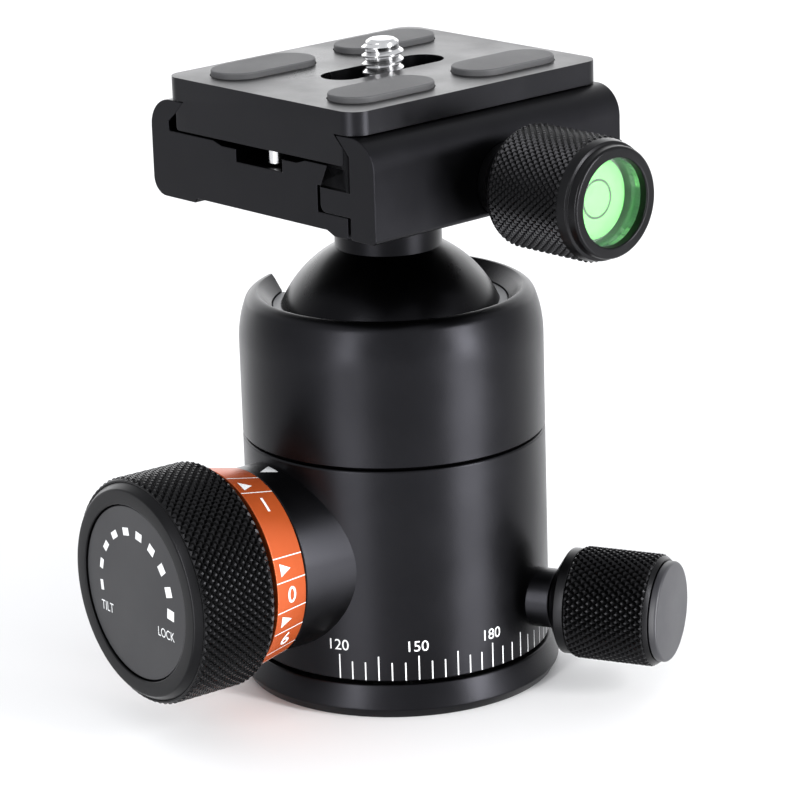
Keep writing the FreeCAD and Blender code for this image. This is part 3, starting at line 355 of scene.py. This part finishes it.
class Marks:
    """Printed marks gathered into one thin mesh."""

    def __init__(self):
        self.verts = []
        self.faces = []

    def add(self, points, faces, lay):
        base = len(self.verts)
        for x, y in points:
            self.verts.append(lay(x, y))
        for face in faces:
            self.faces.append(tuple(base + i for i in face))

    def shape(self, points, lay):
        self.add(points, [tuple(range(len(points)))], lay)

    def arrow(self, width, low, tall, lay, parts=8):
        """Triangle on a base across x that points along y, in strips that follow a curve."""
        points = []
        for part in range(parts + 1):
            share = 2.0 * part / parts - 1.0
            points += [(share * width / 2, low), (share * width / 2, low + tall * (1.0 - abs(share)))]
        faces = [(2 * part, 2 * part + 2, 2 * part + 3, 2 * part + 1) for part in range(parts)]
        faces[0] = (0, 2, 3)
        faces[-1] = (2 * parts - 2, 2 * parts, 2 * parts - 1)
        self.add(points, faces, lay)

    def bar(self, x, y, width, height, lay, parts=1):
        """Upright or level bar split into parts so that it can follow a curve."""
        points = []
        faces = []
        for part in range(parts + 1):
            along = x - width / 2 + width * part / parts
            points += [(along, y - height / 2), (along, y + height / 2)]
        for part in range(parts):
            here = 2 * part
            faces.append((here, here + 2, here + 3, here + 1))
        self.add(points, faces, lay)

    def words(self, words, size, lay, thick=0.0, squeeze=1.0):
        points, faces = text_mesh(words, size, thick)
        self.add([(x * squeeze, y) for x, y in points], faces, lay)

    def build(self, name, place):
        return make_object(name, self.verts, self.faces, place, 80.0)


# Materials

def node_material(name):
    material = bpy.data.materials.new(name)
    material.use_nodes = True
    nodes = material.node_tree.nodes
    links = material.node_tree.links
    return material, nodes, links, nodes["Principled BSDF"]


def object_noise(nodes, links, scale, detail=3.0):
    place = nodes.new("ShaderNodeTexCoord")
    noise = nodes.new("ShaderNodeTexNoise")
    noise.inputs["Scale"].default_value = scale
    noise.inputs["Detail"].default_value = detail
    links.new(place.outputs["Object"], noise.inputs["Vector"])
    return noise


def spread(nodes, links, source, low, high):
    """Map the middle of a noise, where most of its values lie, to a range."""
    change = nodes.new("ShaderNodeMapRange")
    change.inputs["From Min"].default_value = 0.3
    change.inputs["From Max"].default_value = 0.7
    change.inputs["To Min"].default_value = low
    change.inputs["To Max"].default_value = high
    links.new(source, change.inputs["Value"])
    return change.outputs["Result"]


def surface(name, colour, metallic, rough, grain=0.0, grain_size=0.12, wear=0.06, tint=0.12, **extra):
    """Finish with fine grain, slight tone changes and uneven gloss, all procedural."""
    material, nodes, links, shader = node_material(name)
    fine = object_noise(nodes, links, 1.0 / (grain_size * MM), 2.0)
    broad = object_noise(nodes, links, 90.0, 4.0)
    mix = nodes.new("ShaderNodeMix")
    mix.data_type = "RGBA"
    mix.inputs[6].default_value = (*[c * (1 - tint) for c in colour], 1.0)
    mix.inputs[7].default_value = (*[min(1.0, c * (1 + tint)) for c in colour], 1.0)
    links.new(broad.outputs["Fac"], mix.inputs[0])
    links.new(mix.outputs[2], shader.inputs["Base Color"])
    gloss = spread(nodes, links, broad.outputs["Fac"], rough - wear, rough + wear)
    links.new(gloss, shader.inputs["Roughness"])
    shader.inputs["Metallic"].default_value = metallic
    for key, value in extra.items():
        shader.inputs[key.replace("_", " ")].default_value = value
    if grain:
        bump = nodes.new("ShaderNodeBump")
        bump.inputs["Strength"].default_value = grain
        bump.inputs["Distance"].default_value = 0.02 * MM
        links.new(fine.outputs["Fac"], bump.inputs["Height"])
        links.new(bump.outputs["Normal"], shader.inputs["Normal"])
    return material


FINISH = {
    "body": surface("satin_black_body", (0.015, 0.015, 0.017), 1.0, 0.32, 0.55, 0.14, 0.04),
    "ball": surface("satin_black_ball", (0.008, 0.008, 0.009), 1.0, 0.30, 0.25, 0.12),
    "clamp": surface("grained_black_clamp", (0.014, 0.014, 0.016), 1.0, 0.35, 0.8, 0.16, 0.04),
    "plate": surface("grained_black_plate", (0.017, 0.017, 0.019), 1.0, 0.32, 0.6, 0.14),
    "knurl": surface("black_knurl", (0.016, 0.016, 0.017), 1.0, 0.32, 0.2, 0.10),
    "face": surface("satin_black_face", (0.008, 0.008, 0.010), 0.0, 0.42, 0.15, 0.10),
    "grey_face": surface("satin_grey_face", (0.020, 0.020, 0.024), 0.1, 0.40, 0.15, 0.10),
    "orange": surface("orange_anodised", (0.46, 0.082, 0.018), 0.5, 0.33, 0.5, 0.12),
    "rubber": surface("grey_rubber", (0.060, 0.060, 0.063), 0.0, 0.60, 0.9, 0.12),
    "steel": surface("bright_steel", (0.60, 0.60, 0.61), 1.0, 0.20, 0.15, 0.20),
    "dark_steel": surface("black_oxide_steel", (0.06, 0.06, 0.062), 0.9, 0.34, 0.15, 0.10),
    "brass": surface("turned_brass", (0.68, 0.46, 0.18), 1.0, 0.26, 0.15, 0.20),
    "liner": surface("slate_liner", (0.05, 0.055, 0.07), 0.1, 0.38, 0.2, 0.12),
    "nylon": surface("white_nylon", (0.72, 0.72, 0.70), 0.0, 0.50, 0.2, 0.12),
    "ink": surface("white_ink", (0.60, 0.61, 0.62), 0.0, 0.55, 0.1, 0.08),
    "black_ink": surface("black_ink", (0.006, 0.012, 0.008), 0.0, 0.35, 0.1, 0.08),
    # Level fluid: real green colour plus a weak emission, which is a painted glow as if the fluid were lit from
    # within.
    "fluid_painted_glow": surface("green_fluid_painted_glow", (0.22, 0.80, 0.20), 0.0, 0.30, 0.0, 0.1, tint=0.06,
                     Emission_Color=(0.22, 0.85, 0.16, 1.0), Emission_Strength=0.25),
    "case": surface("clear_grey_case", (0.16, 0.24, 0.20), 0.0, 0.22, 0.0, 0.1),
}


def window_material():
    """Clear window with a faint green edge, kept see-through without bending the light."""
    material, nodes, links, shader = node_material("level_window")
    clear = nodes.new("ShaderNodeBsdfTransparent")
    clear.inputs["Color"].default_value = (0.93, 1.0, 0.94, 1.0)
    gloss = nodes.new("ShaderNodeBsdfGlossy")
    gloss.inputs["Roughness"].default_value = 0.04
    rim = nodes.new("ShaderNodeLayerWeight")
    rim.inputs["Blend"].default_value = 0.25
    noise = object_noise(nodes, links, 300.0, 2.0)
    share = nodes.new("ShaderNodeMath")
    share.operation = "MULTIPLY"
    links.new(rim.outputs["Fresnel"], share.inputs[0])
    links.new(spread(nodes, links, noise.outputs["Fac"], 0.8, 1.0), share.inputs[1])
    mix = nodes.new("ShaderNodeMixShader")
    links.new(share.outputs[0], mix.inputs[0])
    links.new(clear.outputs[0], mix.inputs[1])
    links.new(gloss.outputs[0], mix.inputs[2])
    links.new(mix.outputs[0], nodes["Material Output"].inputs["Surface"])
    nodes.remove(shader)
    return material


FINISH["window"] = window_material()


def finish(item, look, body, nodes=()):
    """Give a piece its material, the body it rides on and the nodes that it stands for."""
    item.data.materials.clear()
    item.data.materials.append(FINISH[look])
    if nodes:
        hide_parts(*nodes)
    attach(item, body)
    return item


def dress(node, look):
    """Give a CAD node its material."""
    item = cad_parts[node]
    if not item.material_slots:
        item.data.materials.append(FINISH[look])
    for place in item.material_slots:
        place.material = FINISH[look]


# Turning base

def build_base():
    base = lathe("base_ring", [
        (8.5, 0.0, 0.1), (24.1, 0.0, 0.25), (25.0, 1.5, 0.5), (24.0, 5.2, 0.35), (11.0, 5.2),
        (11.0, 16.6), (2.5, 16.6), (2.5, 12.1), (7.0, 9.5), (7.0, 1.2), (8.5, 1.2),
    ], segments=256)
    finish(base, "body", "base", ["pan_base"])
    bush = lathe("thread_bush", [
        (4.76, 0.0, 0.3), (8.5, 0.0, 0.15), (8.5, 1.2), (7.0, 1.2), (7.0, 9.5), (4.76, 9.5),
    ], segments=96)
    finish(bush, "steel", "base", ["thread_insert"])
    ridge = thread("bush_thread", 4.76, 1.5875, 0.3, 9.3, UPRIGHT, 0.55, inside=True)
    finish(ridge, "steel", "base")


# Housing

def cut_notch(item):
    """Portrait notch with a round bottom on the +Y side."""
    half = 9.3
    middle = BALL_CENTRE
    outline = [(half, 80.0)]
    for part in range(33):
        a = math.radians(-180.0 * part / 32)
        outline.append((half * math.cos(a), middle + half * math.sin(a)))
    outline.append((-half, 80.0))
    verts = []
    for level in (0.0, 30.0):
        verts += [(x, level, z) for x, z in outline]
    count = len(outline)
    faces = [tuple(range(count)), tuple(reversed(range(count, 2 * count)))]
    for index in range(count):
        after = (index + 1) % count
        faces.append((index, count + index, count + after, after))
    return combine(item, make_object("notch_tool", verts, faces))


def build_housing():
    barrel = lathe("lower_barrel", [
        (11.05, 5.55), (23.5, 5.55, 0.25), (23.5, 39.15, 0.4), (20.9, 39.15), (20.9, 41.35),
        (15.5, 41.35), (15.5, 19.4), (13.1, 19.4), (13.1, 16.55), (11.05, 16.55),
    ], segments=256)
    boss = lathe("lock_boss", [(6.5, 12.0), (14.4, 12.0), (14.4, 27.9, 0.35), (6.5, 27.9)], LOCK, 192)
    neck = lathe("pan_boss", [(2.65, 12.0), (4.6, 12.0), (4.6, 26.8, 0.3), (2.65, 26.8)], PAN, 96)
    bore = lathe("bore_tool", [(0.0, 0.0), (15.5, 0.0), (15.5, 60.0), (0.0, 60.0)],
                 Matrix.Translation((0, 0, 5.0)), 128)
    combine(boss, bore)
    combine(barrel, lathe("lock_bore_tool", [(0.0, 10.0), (6.5, 10.0), (6.5, 30.0), (0.0, 30.0)], LOCK, 96))
    combine(barrel, lathe("pan_bore_tool", [(0.0, 11.0), (2.65, 11.0), (2.65, 30.0), (0.0, 30.0)], PAN, 64))
    finish(barrel, "body", "housing", ["lower_housing"])
    finish(boss, "body", "housing")
    finish(neck, "body", "housing")
    shell = lathe("upper_barrel", upper_outline(), segments=256, step=6.0)
    cut_notch(shell)
    finish(shell, "body", "housing", ["upper_housing"])
    liner = lathe("ball_liner", [
        (13.2, 52.5), (19.45, 52.5), (19.45, 57.45), (18.2, 57.45), (18.2, 59.3, 0.3), (16.6, 59.3, 0.3),
        (18.5, 53.0),
    ], segments=192)
    cut_notch(liner)
    finish(liner, "liner", "housing", ["mouth_liner"])


def arc(start, end, radius, parts):
    """Points from start towards end along an arc that bulges to the right, end left out."""
    a = Vector(start)
    b = Vector(end)
    chord = b - a
    half = chord.length / 2
    left = Vector((-chord.y, chord.x)).normalized()
    centre = (a + b) / 2 + left * math.sqrt(radius * radius - half * half)
    first = math.atan2(a.y - centre.y, a.x - centre.x)
    last = math.atan2(b.y - centre.y, b.x - centre.x)
    while last < first:
        last += math.tau
    turns = [first + (last - first) * part / parts for part in range(parts)]
    return [(centre.x + radius * math.cos(t), centre.y + radius * math.sin(t)) for t in turns]


def upper_outline():
    points = [(20.95, 39.25), (23.05, 39.25), (23.5, 39.7)]
    points += arc((23.5, 54.0), (22.4, 60.1), 17.5, 12)
    points += arc((22.4, 60.1), (20.7, 61.6), 2.3, 10)
    points += [(20.7, 61.6), (20.45, 61.58), (19.7, 61.0), (19.55, 60.8), (18.25, 59.45), (18.25, 57.45),
               (19.5, 57.45), (19.5, 41.55), (20.95, 41.55)]
    return points


def on_barrel(turn, height, radius=23.5 + MARK_LIFT):
    """Lays flat marks on the upright barrel: x goes to the right as seen from outside."""
    def lay(x, y):
        a = math.radians(turn) + x / radius
        return (radius * math.cos(a), radius * math.sin(a), height + y)
    return lay


def build_scale():
    marks = Marks()
    lock_side = 180
    clear = math.cos(math.radians(30))
    for tick in range(0, 360, 5):
        turn = 90 + tick
        if math.cos(math.radians(turn - lock_side)) > clear:
            continue
        tall = 3.9 if tick % 15 == 0 else 2.9
        marks.bar(0.0, 0.0, 0.2, tall, on_barrel(turn, 5.75 + tall / 2))
        if tick % 30 == 0:
            marks.words(str(tick), 1.7, on_barrel(turn, 11.2))
    finish(marks.build("angle_scale", UPRIGHT), "ink", "housing")
    index = Marks()
    boss = 14.4 + MARK_LIFT

    def on_boss(x, y):
        """Lays the index on the top of the lock boss: y runs out along it."""
        a = math.radians(84.2) - x / boss
        return (boss * math.cos(a), boss * math.sin(a), 23.9 + y)
    index.arrow(2.64, 0.2, 2.44, on_boss)
    finish(index.build("boss_index", LOCK), "ink", "housing")


# Ball and stem

def build_ball():
    work = bmesh.new()
    bmesh.ops.create_uvsphere(work, u_segments=160, v_segments=96, radius=BALL_RADIUS * MM)
    mesh = bpy.data.meshes.new("ball_surface")
    for vert in work.verts:
        vert.co.z += BALL_CENTRE * MM
    work.to_mesh(mesh)
    work.free()
    smooth(mesh, 60.0)
    ball = bpy.data.objects.new("ball_surface", mesh)
    scene.collection.objects.link(ball)
    finish(ball, "ball", "ball", ["ball"])
    stem = lathe("stem_neck", [
        (3.05, 66.0), (8.25, 68.2), (8.25, 77.55, 0.3), (3.05, 77.55),
    ], segments=128)
    finish(stem, "ball", "stem", ["ball_stem"])


# Lock knob and tension ring

# Degrees round the tension ring
RING_LINES = [77.0, 62.5, 20.8, 7.3, -10.0, -24.0, -40.0, -52.0]
RING_ARROWS = [68.5, 14.0, -16.5]
RING_NUMBERS = [(53.0, "1"), (-1.3, "0"), (-31.5, "9")]

DIAL_HEIGHT = 48.83


def build_lock_knob():
    barrel = lathe("lock_knob_barrel", [
        (4.0, 29.1), (8.0, 29.1), (8.0, 34.6), (15.6, 34.6, 0.3), (16.75, 35.7), (16.75, 47.7),
        (16.7, 47.9, 0.3), (15.84, 49.1, 0.45), (13.55, 49.1, 0.2), (13.55, 46.6), (4.0, 46.6),
    ], LOCK, 192)
    finish(barrel, "knurl", "lock_knob", ["lock_knob"])
    grip = knurl("lock_knob_knurl", 17.4, 35.6, 48.0, 76, 1.45, 0.42, LOCK, 0.45)
    finish(grip, "knurl", "lock_knob")
    cap = lathe("lock_knob_face", [(0.0, 46.75), (13.4, 46.75), (13.4, 48.8, 0.25), (0.0, 48.8)], LOCK, 192)
    finish(cap, "face", "lock_knob", ["lock_knob_cap"])
    dial = Marks()

    def on_face(x, y):
        return (x, y, DIAL_HEIGHT)
    for block in range(10):
        a = math.radians(187.0 - 21.4 * block)
        width = 0.75 + 0.115 * block
        tall = 1.75
        u = Vector((math.cos(a), math.sin(a)))
        v = Vector((-math.sin(a), math.cos(a)))
        centre = u * 9.4
        corners = []
        for across, around in ((-1, -1), (1, -1), (1, 1), (-1, 1)):
            p = centre + u * (across * width / 2) + v * (around * tall / 2 * 0.93)
            corners.append((p.x, p.y))
        dial.shape(corners, on_face)
    for words, x, y in (("TILT", -8.1, -4.3), ("LOCK", 7.9, -4.3)):
        dial.words(words, 1.45, lambda px, py, x=x, y=y: (px + x, py + y, DIAL_HEIGHT), 0.0, 0.8)
    finish(dial.build("lock_dial", LOCK), "ink", "lock_knob")


def build_tension_ring():
    ring = lathe("tension_band", [
        (11.45, BAND_START), (BAND_SMALL, BAND_START, 0.15), (BAND_LARGE, 34.1, 0.15), (8.1, 34.1),
        (8.1, 32.1), (11.45, 32.1),
    ], LOCK, 192)
    finish(ring, "orange", "tension_ring", ["tension_ring"])
    marks = Marks()

    def on_ring(degrees):
        """Lays marks on the coned band: x runs round the band and y along it towards the boss."""
        def lay(x, y):
            along = 31.1 - y
            radius = BAND_SMALL + (BAND_LARGE - BAND_SMALL) * (along - BAND_START) / BAND_LENGTH + MARK_LIFT
            a = math.radians(degrees) + x / 15.3
            return (radius * math.cos(a), radius * math.sin(a), along)
        return lay
    for degrees in RING_LINES:
        marks.bar(0.0, 0.0, 0.16, 5.9, on_ring(degrees))
    for degrees in RING_ARROWS:
        marks.arrow(1.95, -1.9, 2.1, on_ring(degrees))
    for degrees, words in RING_NUMBERS:
        lay = on_ring(degrees)
        marks.words(words, 2.6, lambda x, y, lay=lay: lay(-y, -x), 0.01)
    finish(marks.build("tension_marks", LOCK), "ink", "tension_ring")


# Pan knob

def build_pan_knob():
    barrel = lathe("pan_knob_barrel", [
        (2.6, 27.3), (5.6, 27.3, 0.2), (8.2, 28.9, 0.15), (8.2, 30.4, 0.15), (7.9, 30.45), (7.9, 43.2),
        (8.5, 43.25, 0.1), (7.95, 43.95, 0.15), (7.2, 44.0), (7.2, 44.1), (2.6, 44.1),
    ], PAN, 128)
    finish(barrel, "knurl", "pan_knob", ["pan_knob"])
    grip = knurl("pan_knob_knurl", 8.65, 30.6, 43.3, 46, 1.55, 0.36, PAN, 0.35)
    finish(grip, "knurl", "pan_knob")
    cap = lathe("pan_knob_face", [(0.0, 44.1), (7.75, 44.1, 0.1), (7.75, 45.3, 0.42), (0.0, 45.3)], PAN, 128)
    finish(cap, "grey_face", "pan_knob", ["pan_knob_cap"])


# Clamp

def clamp_section():
    return rounded([
        (-19.3, 76.9, 0.3), (-16.3, 76.9, 0.3), (-14.7, 77.6), (14.7, 77.6), (15.3, 76.9, 0.3),
        (25.0, 76.9, 2.8), (25.0, 92.05, 4.5), (17.1, 92.05, 0.15), (19.0, 90.15), (20.8, 88.7),
        (20.8, 87.3, 0.4), (10.4, 87.3), (8.4, 86.7), (-8.4, 86.7), (-10.4, 87.3), (-19.3, 87.3, 0.5),
        (-19.3, 84.05), (-12.85, 84.05), (-12.85, 80.1), (-19.3, 80.1),
    ], 8.0)


def jaw_section():
    return rounded([
        (-19.9, 80.15), (-19.9, 76.9, 0.5), (-25.2, 76.9, 0.8), (-25.2, 92.05, 4.5), (-17.1, 92.05, 0.15),
        (-19.0, 90.15), (-19.9, 89.15), (-19.9, 84.0), (-13.45, 84.0, 0.15), (-13.45, 80.15, 1.2),
    ][::-1], 8.0)


def build_clamp():
    block = prism("clamp_block", clamp_section(), -CLAMP_HALF, CLAMP_HALF, CLAMP, "X")
    for sign in (-1, 1):
        corners = [(sign * 10.0, -5.2), (sign * 26.0, -5.2), (sign * 26.0, 5.2), (sign * 10.0, 5.2)]
        recess = prism("recess_tool", corners, 84.8, 95.0, CLAMP)
        combine(block, recess)
    head = lathe("head_tool", [(0.0, 70.0), (3.1, 70.0), (3.1, 79.8), (5.6, 79.8), (5.6, 95.0), (0.0, 95.0)],
                 CLAMP, 64)
    combine(block, head)
    soften(block, 0.35)
    finish(block, "clamp", "clamp", ["clamp_body"])
    jaw = prism("jaw_block", jaw_section(), -CLAMP_HALF, CLAMP_HALF, CLAMP, "X")
    soften(jaw, 0.35)
    finish(jaw, "clamp", "jaw", ["moving_jaw"])


def build_plate():
    section = rounded([
        (-18.8, 87.65, 0.5), (18.8, 87.65, 0.5), (18.8, 90.3, 0.1), (16.9, 92.2),
        (PLATE_HALF_WIDTH, 92.2), (PLATE_HALF_WIDTH, PLATE_TOP), (-PLATE_HALF_WIDTH, PLATE_TOP),
        (-PLATE_HALF_WIDTH, 92.2), (-16.9, 92.2), (-18.8, 90.3, 0.1),
    ])
    plate = prism("release_plate", section, -PLATE_HALF_LENGTH, PLATE_HALF_LENGTH, CLAMP, "X")
    corners = rounded([
        (along * PLATE_HALF_LENGTH, across * PLATE_HALF_WIDTH, PLATE_CORNER)
        for along, across in ((-1, -1), (1, -1), (1, 1), (-1, 1))
    ], 6.0)
    combine(plate, prism("corner_tool", corners, 80.0, 100.0, CLAMP), "INTERSECT")
    combine(plate, prism("slot_tool", stadium(0, 0, 22.8, 6.9), 80.0, 100.0, CLAMP))
    combine(plate, prism("pocket_tool", stadium(0, 0, 32.0, 15.0), 80.0, 92.6, CLAMP))
    for x, y in PAD_SPOTS:
        combine(plate, prism("seat_tool", stadium(x, y, 18.5, 8.9), PAD_FLOOR, 100.0, CLAMP))
    soften(plate, 0.3)
    finish(plate, "plate", "plate", ["quick_release_plate"])
    verts = []
    faces = []
    for x, y in PAD_SPOTS:
        outline = stadium(x, y, 18.2, 8.6)
        base = len(verts)
        count = len(outline)
        for level in (PAD_FLOOR, 96.6):
            verts += [(px, py, level) for px, py in outline]
        faces.append(tuple(base + i for i in reversed(range(count))))
        faces.append(tuple(base + count + i for i in range(count)))
        for index in range(count):
            following = (index + 1) % count
            faces.append((base + index, base + following, base + count + following, base + count + index))
    pads = make_object("grip_pad_set", verts, faces, CLAMP)
    soften(pads, 0.25)
    finish(pads, "rubber", "plate", ["grip_pads"])


def build_camera_screw():
    core = lathe("screw_core", [
        (0.0, 88.1), (6.4, 88.1, 0.4), (6.4, 91.2, 0.3), (2.5, 91.2), (2.5, 99.75, 0.3), (1.9, 100.15),
        (0.0, 100.15),
    ], CLAMP, 96)
    slot_tool = prism("coin_slot_tool", [(-8.0, -0.9), (8.0, -0.9), (8.0, 0.9), (-8.0, 0.9)], 80.0, 89.9, CLAMP)
    combine(core, slot_tool)
    finish(core, "steel", "camera_screw", ["camera_screw"])
    ridge = thread("screw_thread", 3.175, 1.27, 92.6, 100.0, CLAMP, 0.62)
    finish(ridge, "steel", "camera_screw")


# Clamp knob and its bubble level

def build_clamp_knob():
    collar = lathe("knob_neck", [(2.5, 25.25), (5.7, 25.25, 0.3), (5.7, 27.6, 0.2), (2.5, 27.6)],
                   CLAMP_KNOB, 96)
    finish(collar, "knurl", "clamp_knob", ["knob_collar"])
    barrel = lathe("clamp_knob_barrel", [
        (2.5, 27.6), (6.4, 27.6, 0.3), (9.0, 30.7, 0.3), (8.6, 31.0), (8.6, 44.6), (9.0, 44.7, 0.2),
        (8.7, 46.2, 0.2), (8.25, 46.4, 0.1), (8.2, 47.1), (7.2, 47.1), (7.2, 40.9), (0.0, 40.9), (0.0, 35.0),
        (2.5, 35.0),
    ], CLAMP_KNOB, 128)
    finish(barrel, "knurl", "clamp_knob", ["clamp_knob"])
    grip = knurl("clamp_knob_knurl", 9.2, 30.7, 44.9, 52, 1.3, 0.34, CLAMP_KNOB, 0.4)
    finish(grip, "knurl", "clamp_knob")
    bezel = lathe("level_ring", [
        (6.5, 46.5), (7.2, 46.5), (7.2, 47.1), (8.2, 47.1), (8.2, 47.9, 0.45), (6.5, 47.9, 0.3),
    ], CLAMP_KNOB, 128)
    finish(bezel, "knurl", "clamp_knob", ["level_bezel"])
    cup = lathe("level_cup", [
        (0.0, 40.9), (7.2, 40.9), (7.2, 46.5), (6.6, 46.5), (6.6, 41.5), (0.0, 41.5),
    ], CLAMP_KNOB, 96)
    finish(cup, "case", "clamp_knob", ["level_case"])
    # The disc and the bubble use the level fluid material, whose weak emission is a painted glow.
    disc = lathe("level_disc", [(0.0, 41.5), (6.0, 41.5), (6.0, 44.1, 0.4), (0.0, 44.1)], CLAMP_KNOB, 96)
    finish(disc, "fluid_painted_glow", "clamp_knob", ["level_fluid"])
    mark = lathe("level_circle", [(2.6, 44.1), (2.95, 44.1), (2.95, 44.16), (2.6, 44.16)], CLAMP_KNOB, 96)
    finish(mark, "black_ink", "clamp_knob")
    bubble = lathe("level_bubble", [(0.0, 44.1), (0.75, 44.1), (0.75, 44.3, 0.15), (0.0, 44.3)],
                   CLAMP_KNOB @ Matrix.Translation((-1.3, 4.4, 0.0)), 48)
    finish(bubble, "fluid_painted_glow", "clamp_knob")
    window = lathe("level_glass", [(0.0, 45.5), (6.6, 45.5), (6.6, 46.5), (0.0, 46.5)], CLAMP_KNOB, 96)
    finish(window, "window", "clamp_knob", ["level_lens"])


build_base()
build_housing()
build_scale()
build_ball()
build_lock_knob()
build_tension_ring()
build_pan_knob()
build_clamp()
build_plate()
build_camera_screw()
build_clamp_knob()

PLAIN = {
    "glide_ring": "nylon", "pan_keeper": "steel", "keeper_screw": "dark_steel", "lock_bush": "brass",
    "wedge_bed": "steel", "ball_cup": "liner", "lock_wedge": "brass", "lock_spindle": "steel",
    "pan_brake_shoe": "nylon", "pan_spindle": "dark_steel", "fixing_screw": "dark_steel",
    "fixing_washer": "steel", "guide_pins": "steel", "clamp_spindle": "steel", "stop_pins": "steel",
    "screw_clip": "dark_steel",
}
for node, look in PLAIN.items():
    dress(node, look)


# Floor, camera and lights

def build_stage():
    floor_mesh = bpy.data.meshes.new("floor")
    size = 3.0
    floor_mesh.from_pydata([(-size, -size, 0), (size, -size, 0), (size, size, 0), (-size, size, 0)], [],
                           [(0, 1, 2, 3)])
    floor = bpy.data.objects.new("floor", floor_mesh)
    scene.collection.objects.link(floor)
    material, nodes, links, shader = node_material("pale_floor")
    noise = object_noise(nodes, links, 2.0, 2.0)
    mix = nodes.new("ShaderNodeMix")
    mix.data_type = "RGBA"
    mix.inputs[6].default_value = (0.86, 0.86, 0.87, 1.0)
    mix.inputs[7].default_value = (0.90, 0.90, 0.90, 1.0)
    links.new(noise.outputs["Fac"], mix.inputs[0])
    links.new(mix.outputs[2], shader.inputs["Base Color"])
    shader.inputs["Roughness"].default_value = 0.8
    floor_mesh.materials.append(material)
    floor.visible_shadow = False


# The photograph's camera: turn about the head in degrees, then the camera in that turned frame
PHOTO_TURN = -36.5
PHOTO_YAW = 0.002
PHOTO_PITCH = math.radians(16.94)
PHOTO_ROLL = math.radians(-1.77)
PHOTO_PLACE = Vector((0.0, -517.019, 200.609))
PHOTO_WIDTH = 800.0
PHOTO_FOCAL = 3482.01
SENSOR_WIDTH = 36.0


def build_camera():
    yaw = PHOTO_YAW
    pitch = PHOTO_PITCH
    roll = PHOTO_ROLL
    ahead = Vector((math.sin(yaw) * math.cos(pitch), math.cos(yaw) * math.cos(pitch), -math.sin(pitch)))
    right = Vector((math.cos(yaw), -math.sin(yaw), 0.0))
    up = right.cross(ahead)
    side = right * math.cos(roll) + up * math.sin(roll)
    top = up * math.cos(roll) - right * math.sin(roll)
    turn = Matrix.Rotation(math.radians(PHOTO_TURN), 4, "Z")
    place = Matrix.Identity(4)
    for index, axis in enumerate((side, top, -ahead)):
        for row in range(3):
            place[row][index] = axis[row]
    place.translation = PHOTO_PLACE * MM
    data = bpy.data.cameras.new("camera")
    data.sensor_width = SENSOR_WIDTH
    data.lens = PHOTO_FOCAL / PHOTO_WIDTH * SENSOR_WIDTH
    data.clip_start = 0.01
    camera = bpy.data.objects.new("camera", data)
    camera.matrix_world = turn @ place
    scene.collection.objects.link(camera)
    scene.camera = camera


def add_light(name, turn, rise, distance, width, height, power):
    """Soft box that faces the head. Turn is measured from the camera's side, positive to its right."""
    a = math.radians(PHOTO_TURN - 90.0 + turn)
    e = math.radians(rise)
    away = Vector((math.cos(a) * math.cos(e), math.sin(a) * math.cos(e), math.sin(e)))
    data = bpy.data.lights.new(name, "AREA")
    data.shape = "RECTANGLE"
    data.size = width
    data.size_y = height
    data.energy = power
    light = bpy.data.objects.new(name, data)
    light.location = Vector((0.0, 0.0, 0.05)) + away * distance
    light.rotation_euler = away.to_track_quat("Z", "Y").to_euler()
    scene.collection.objects.link(light)


def build_lights():
    add_light("left_box", -33.7, 0.0, 1.1, 0.15, 1.6, 14.0)
    add_light("right_box", 57.0, 0.0, 1.1, 0.17, 1.6, 30.0)
    add_light("back_wall", 180.0, 15.0, 1.5, 3.2, 1.2, 15.0)
    world = bpy.data.worlds.new("studio")
    scene.world = world
    world.use_nodes = True
    nodes = world.node_tree.nodes
    ground = nodes["Background"]
    ground.inputs["Color"].default_value = (0.97, 0.98, 1.0, 1.0)
    ground.inputs["Strength"].default_value = 0.95
    world.cycles.sampling_method = "NONE"


build_stage()
build_camera()
build_lights()
scene.view_settings.view_transform = "Standard"
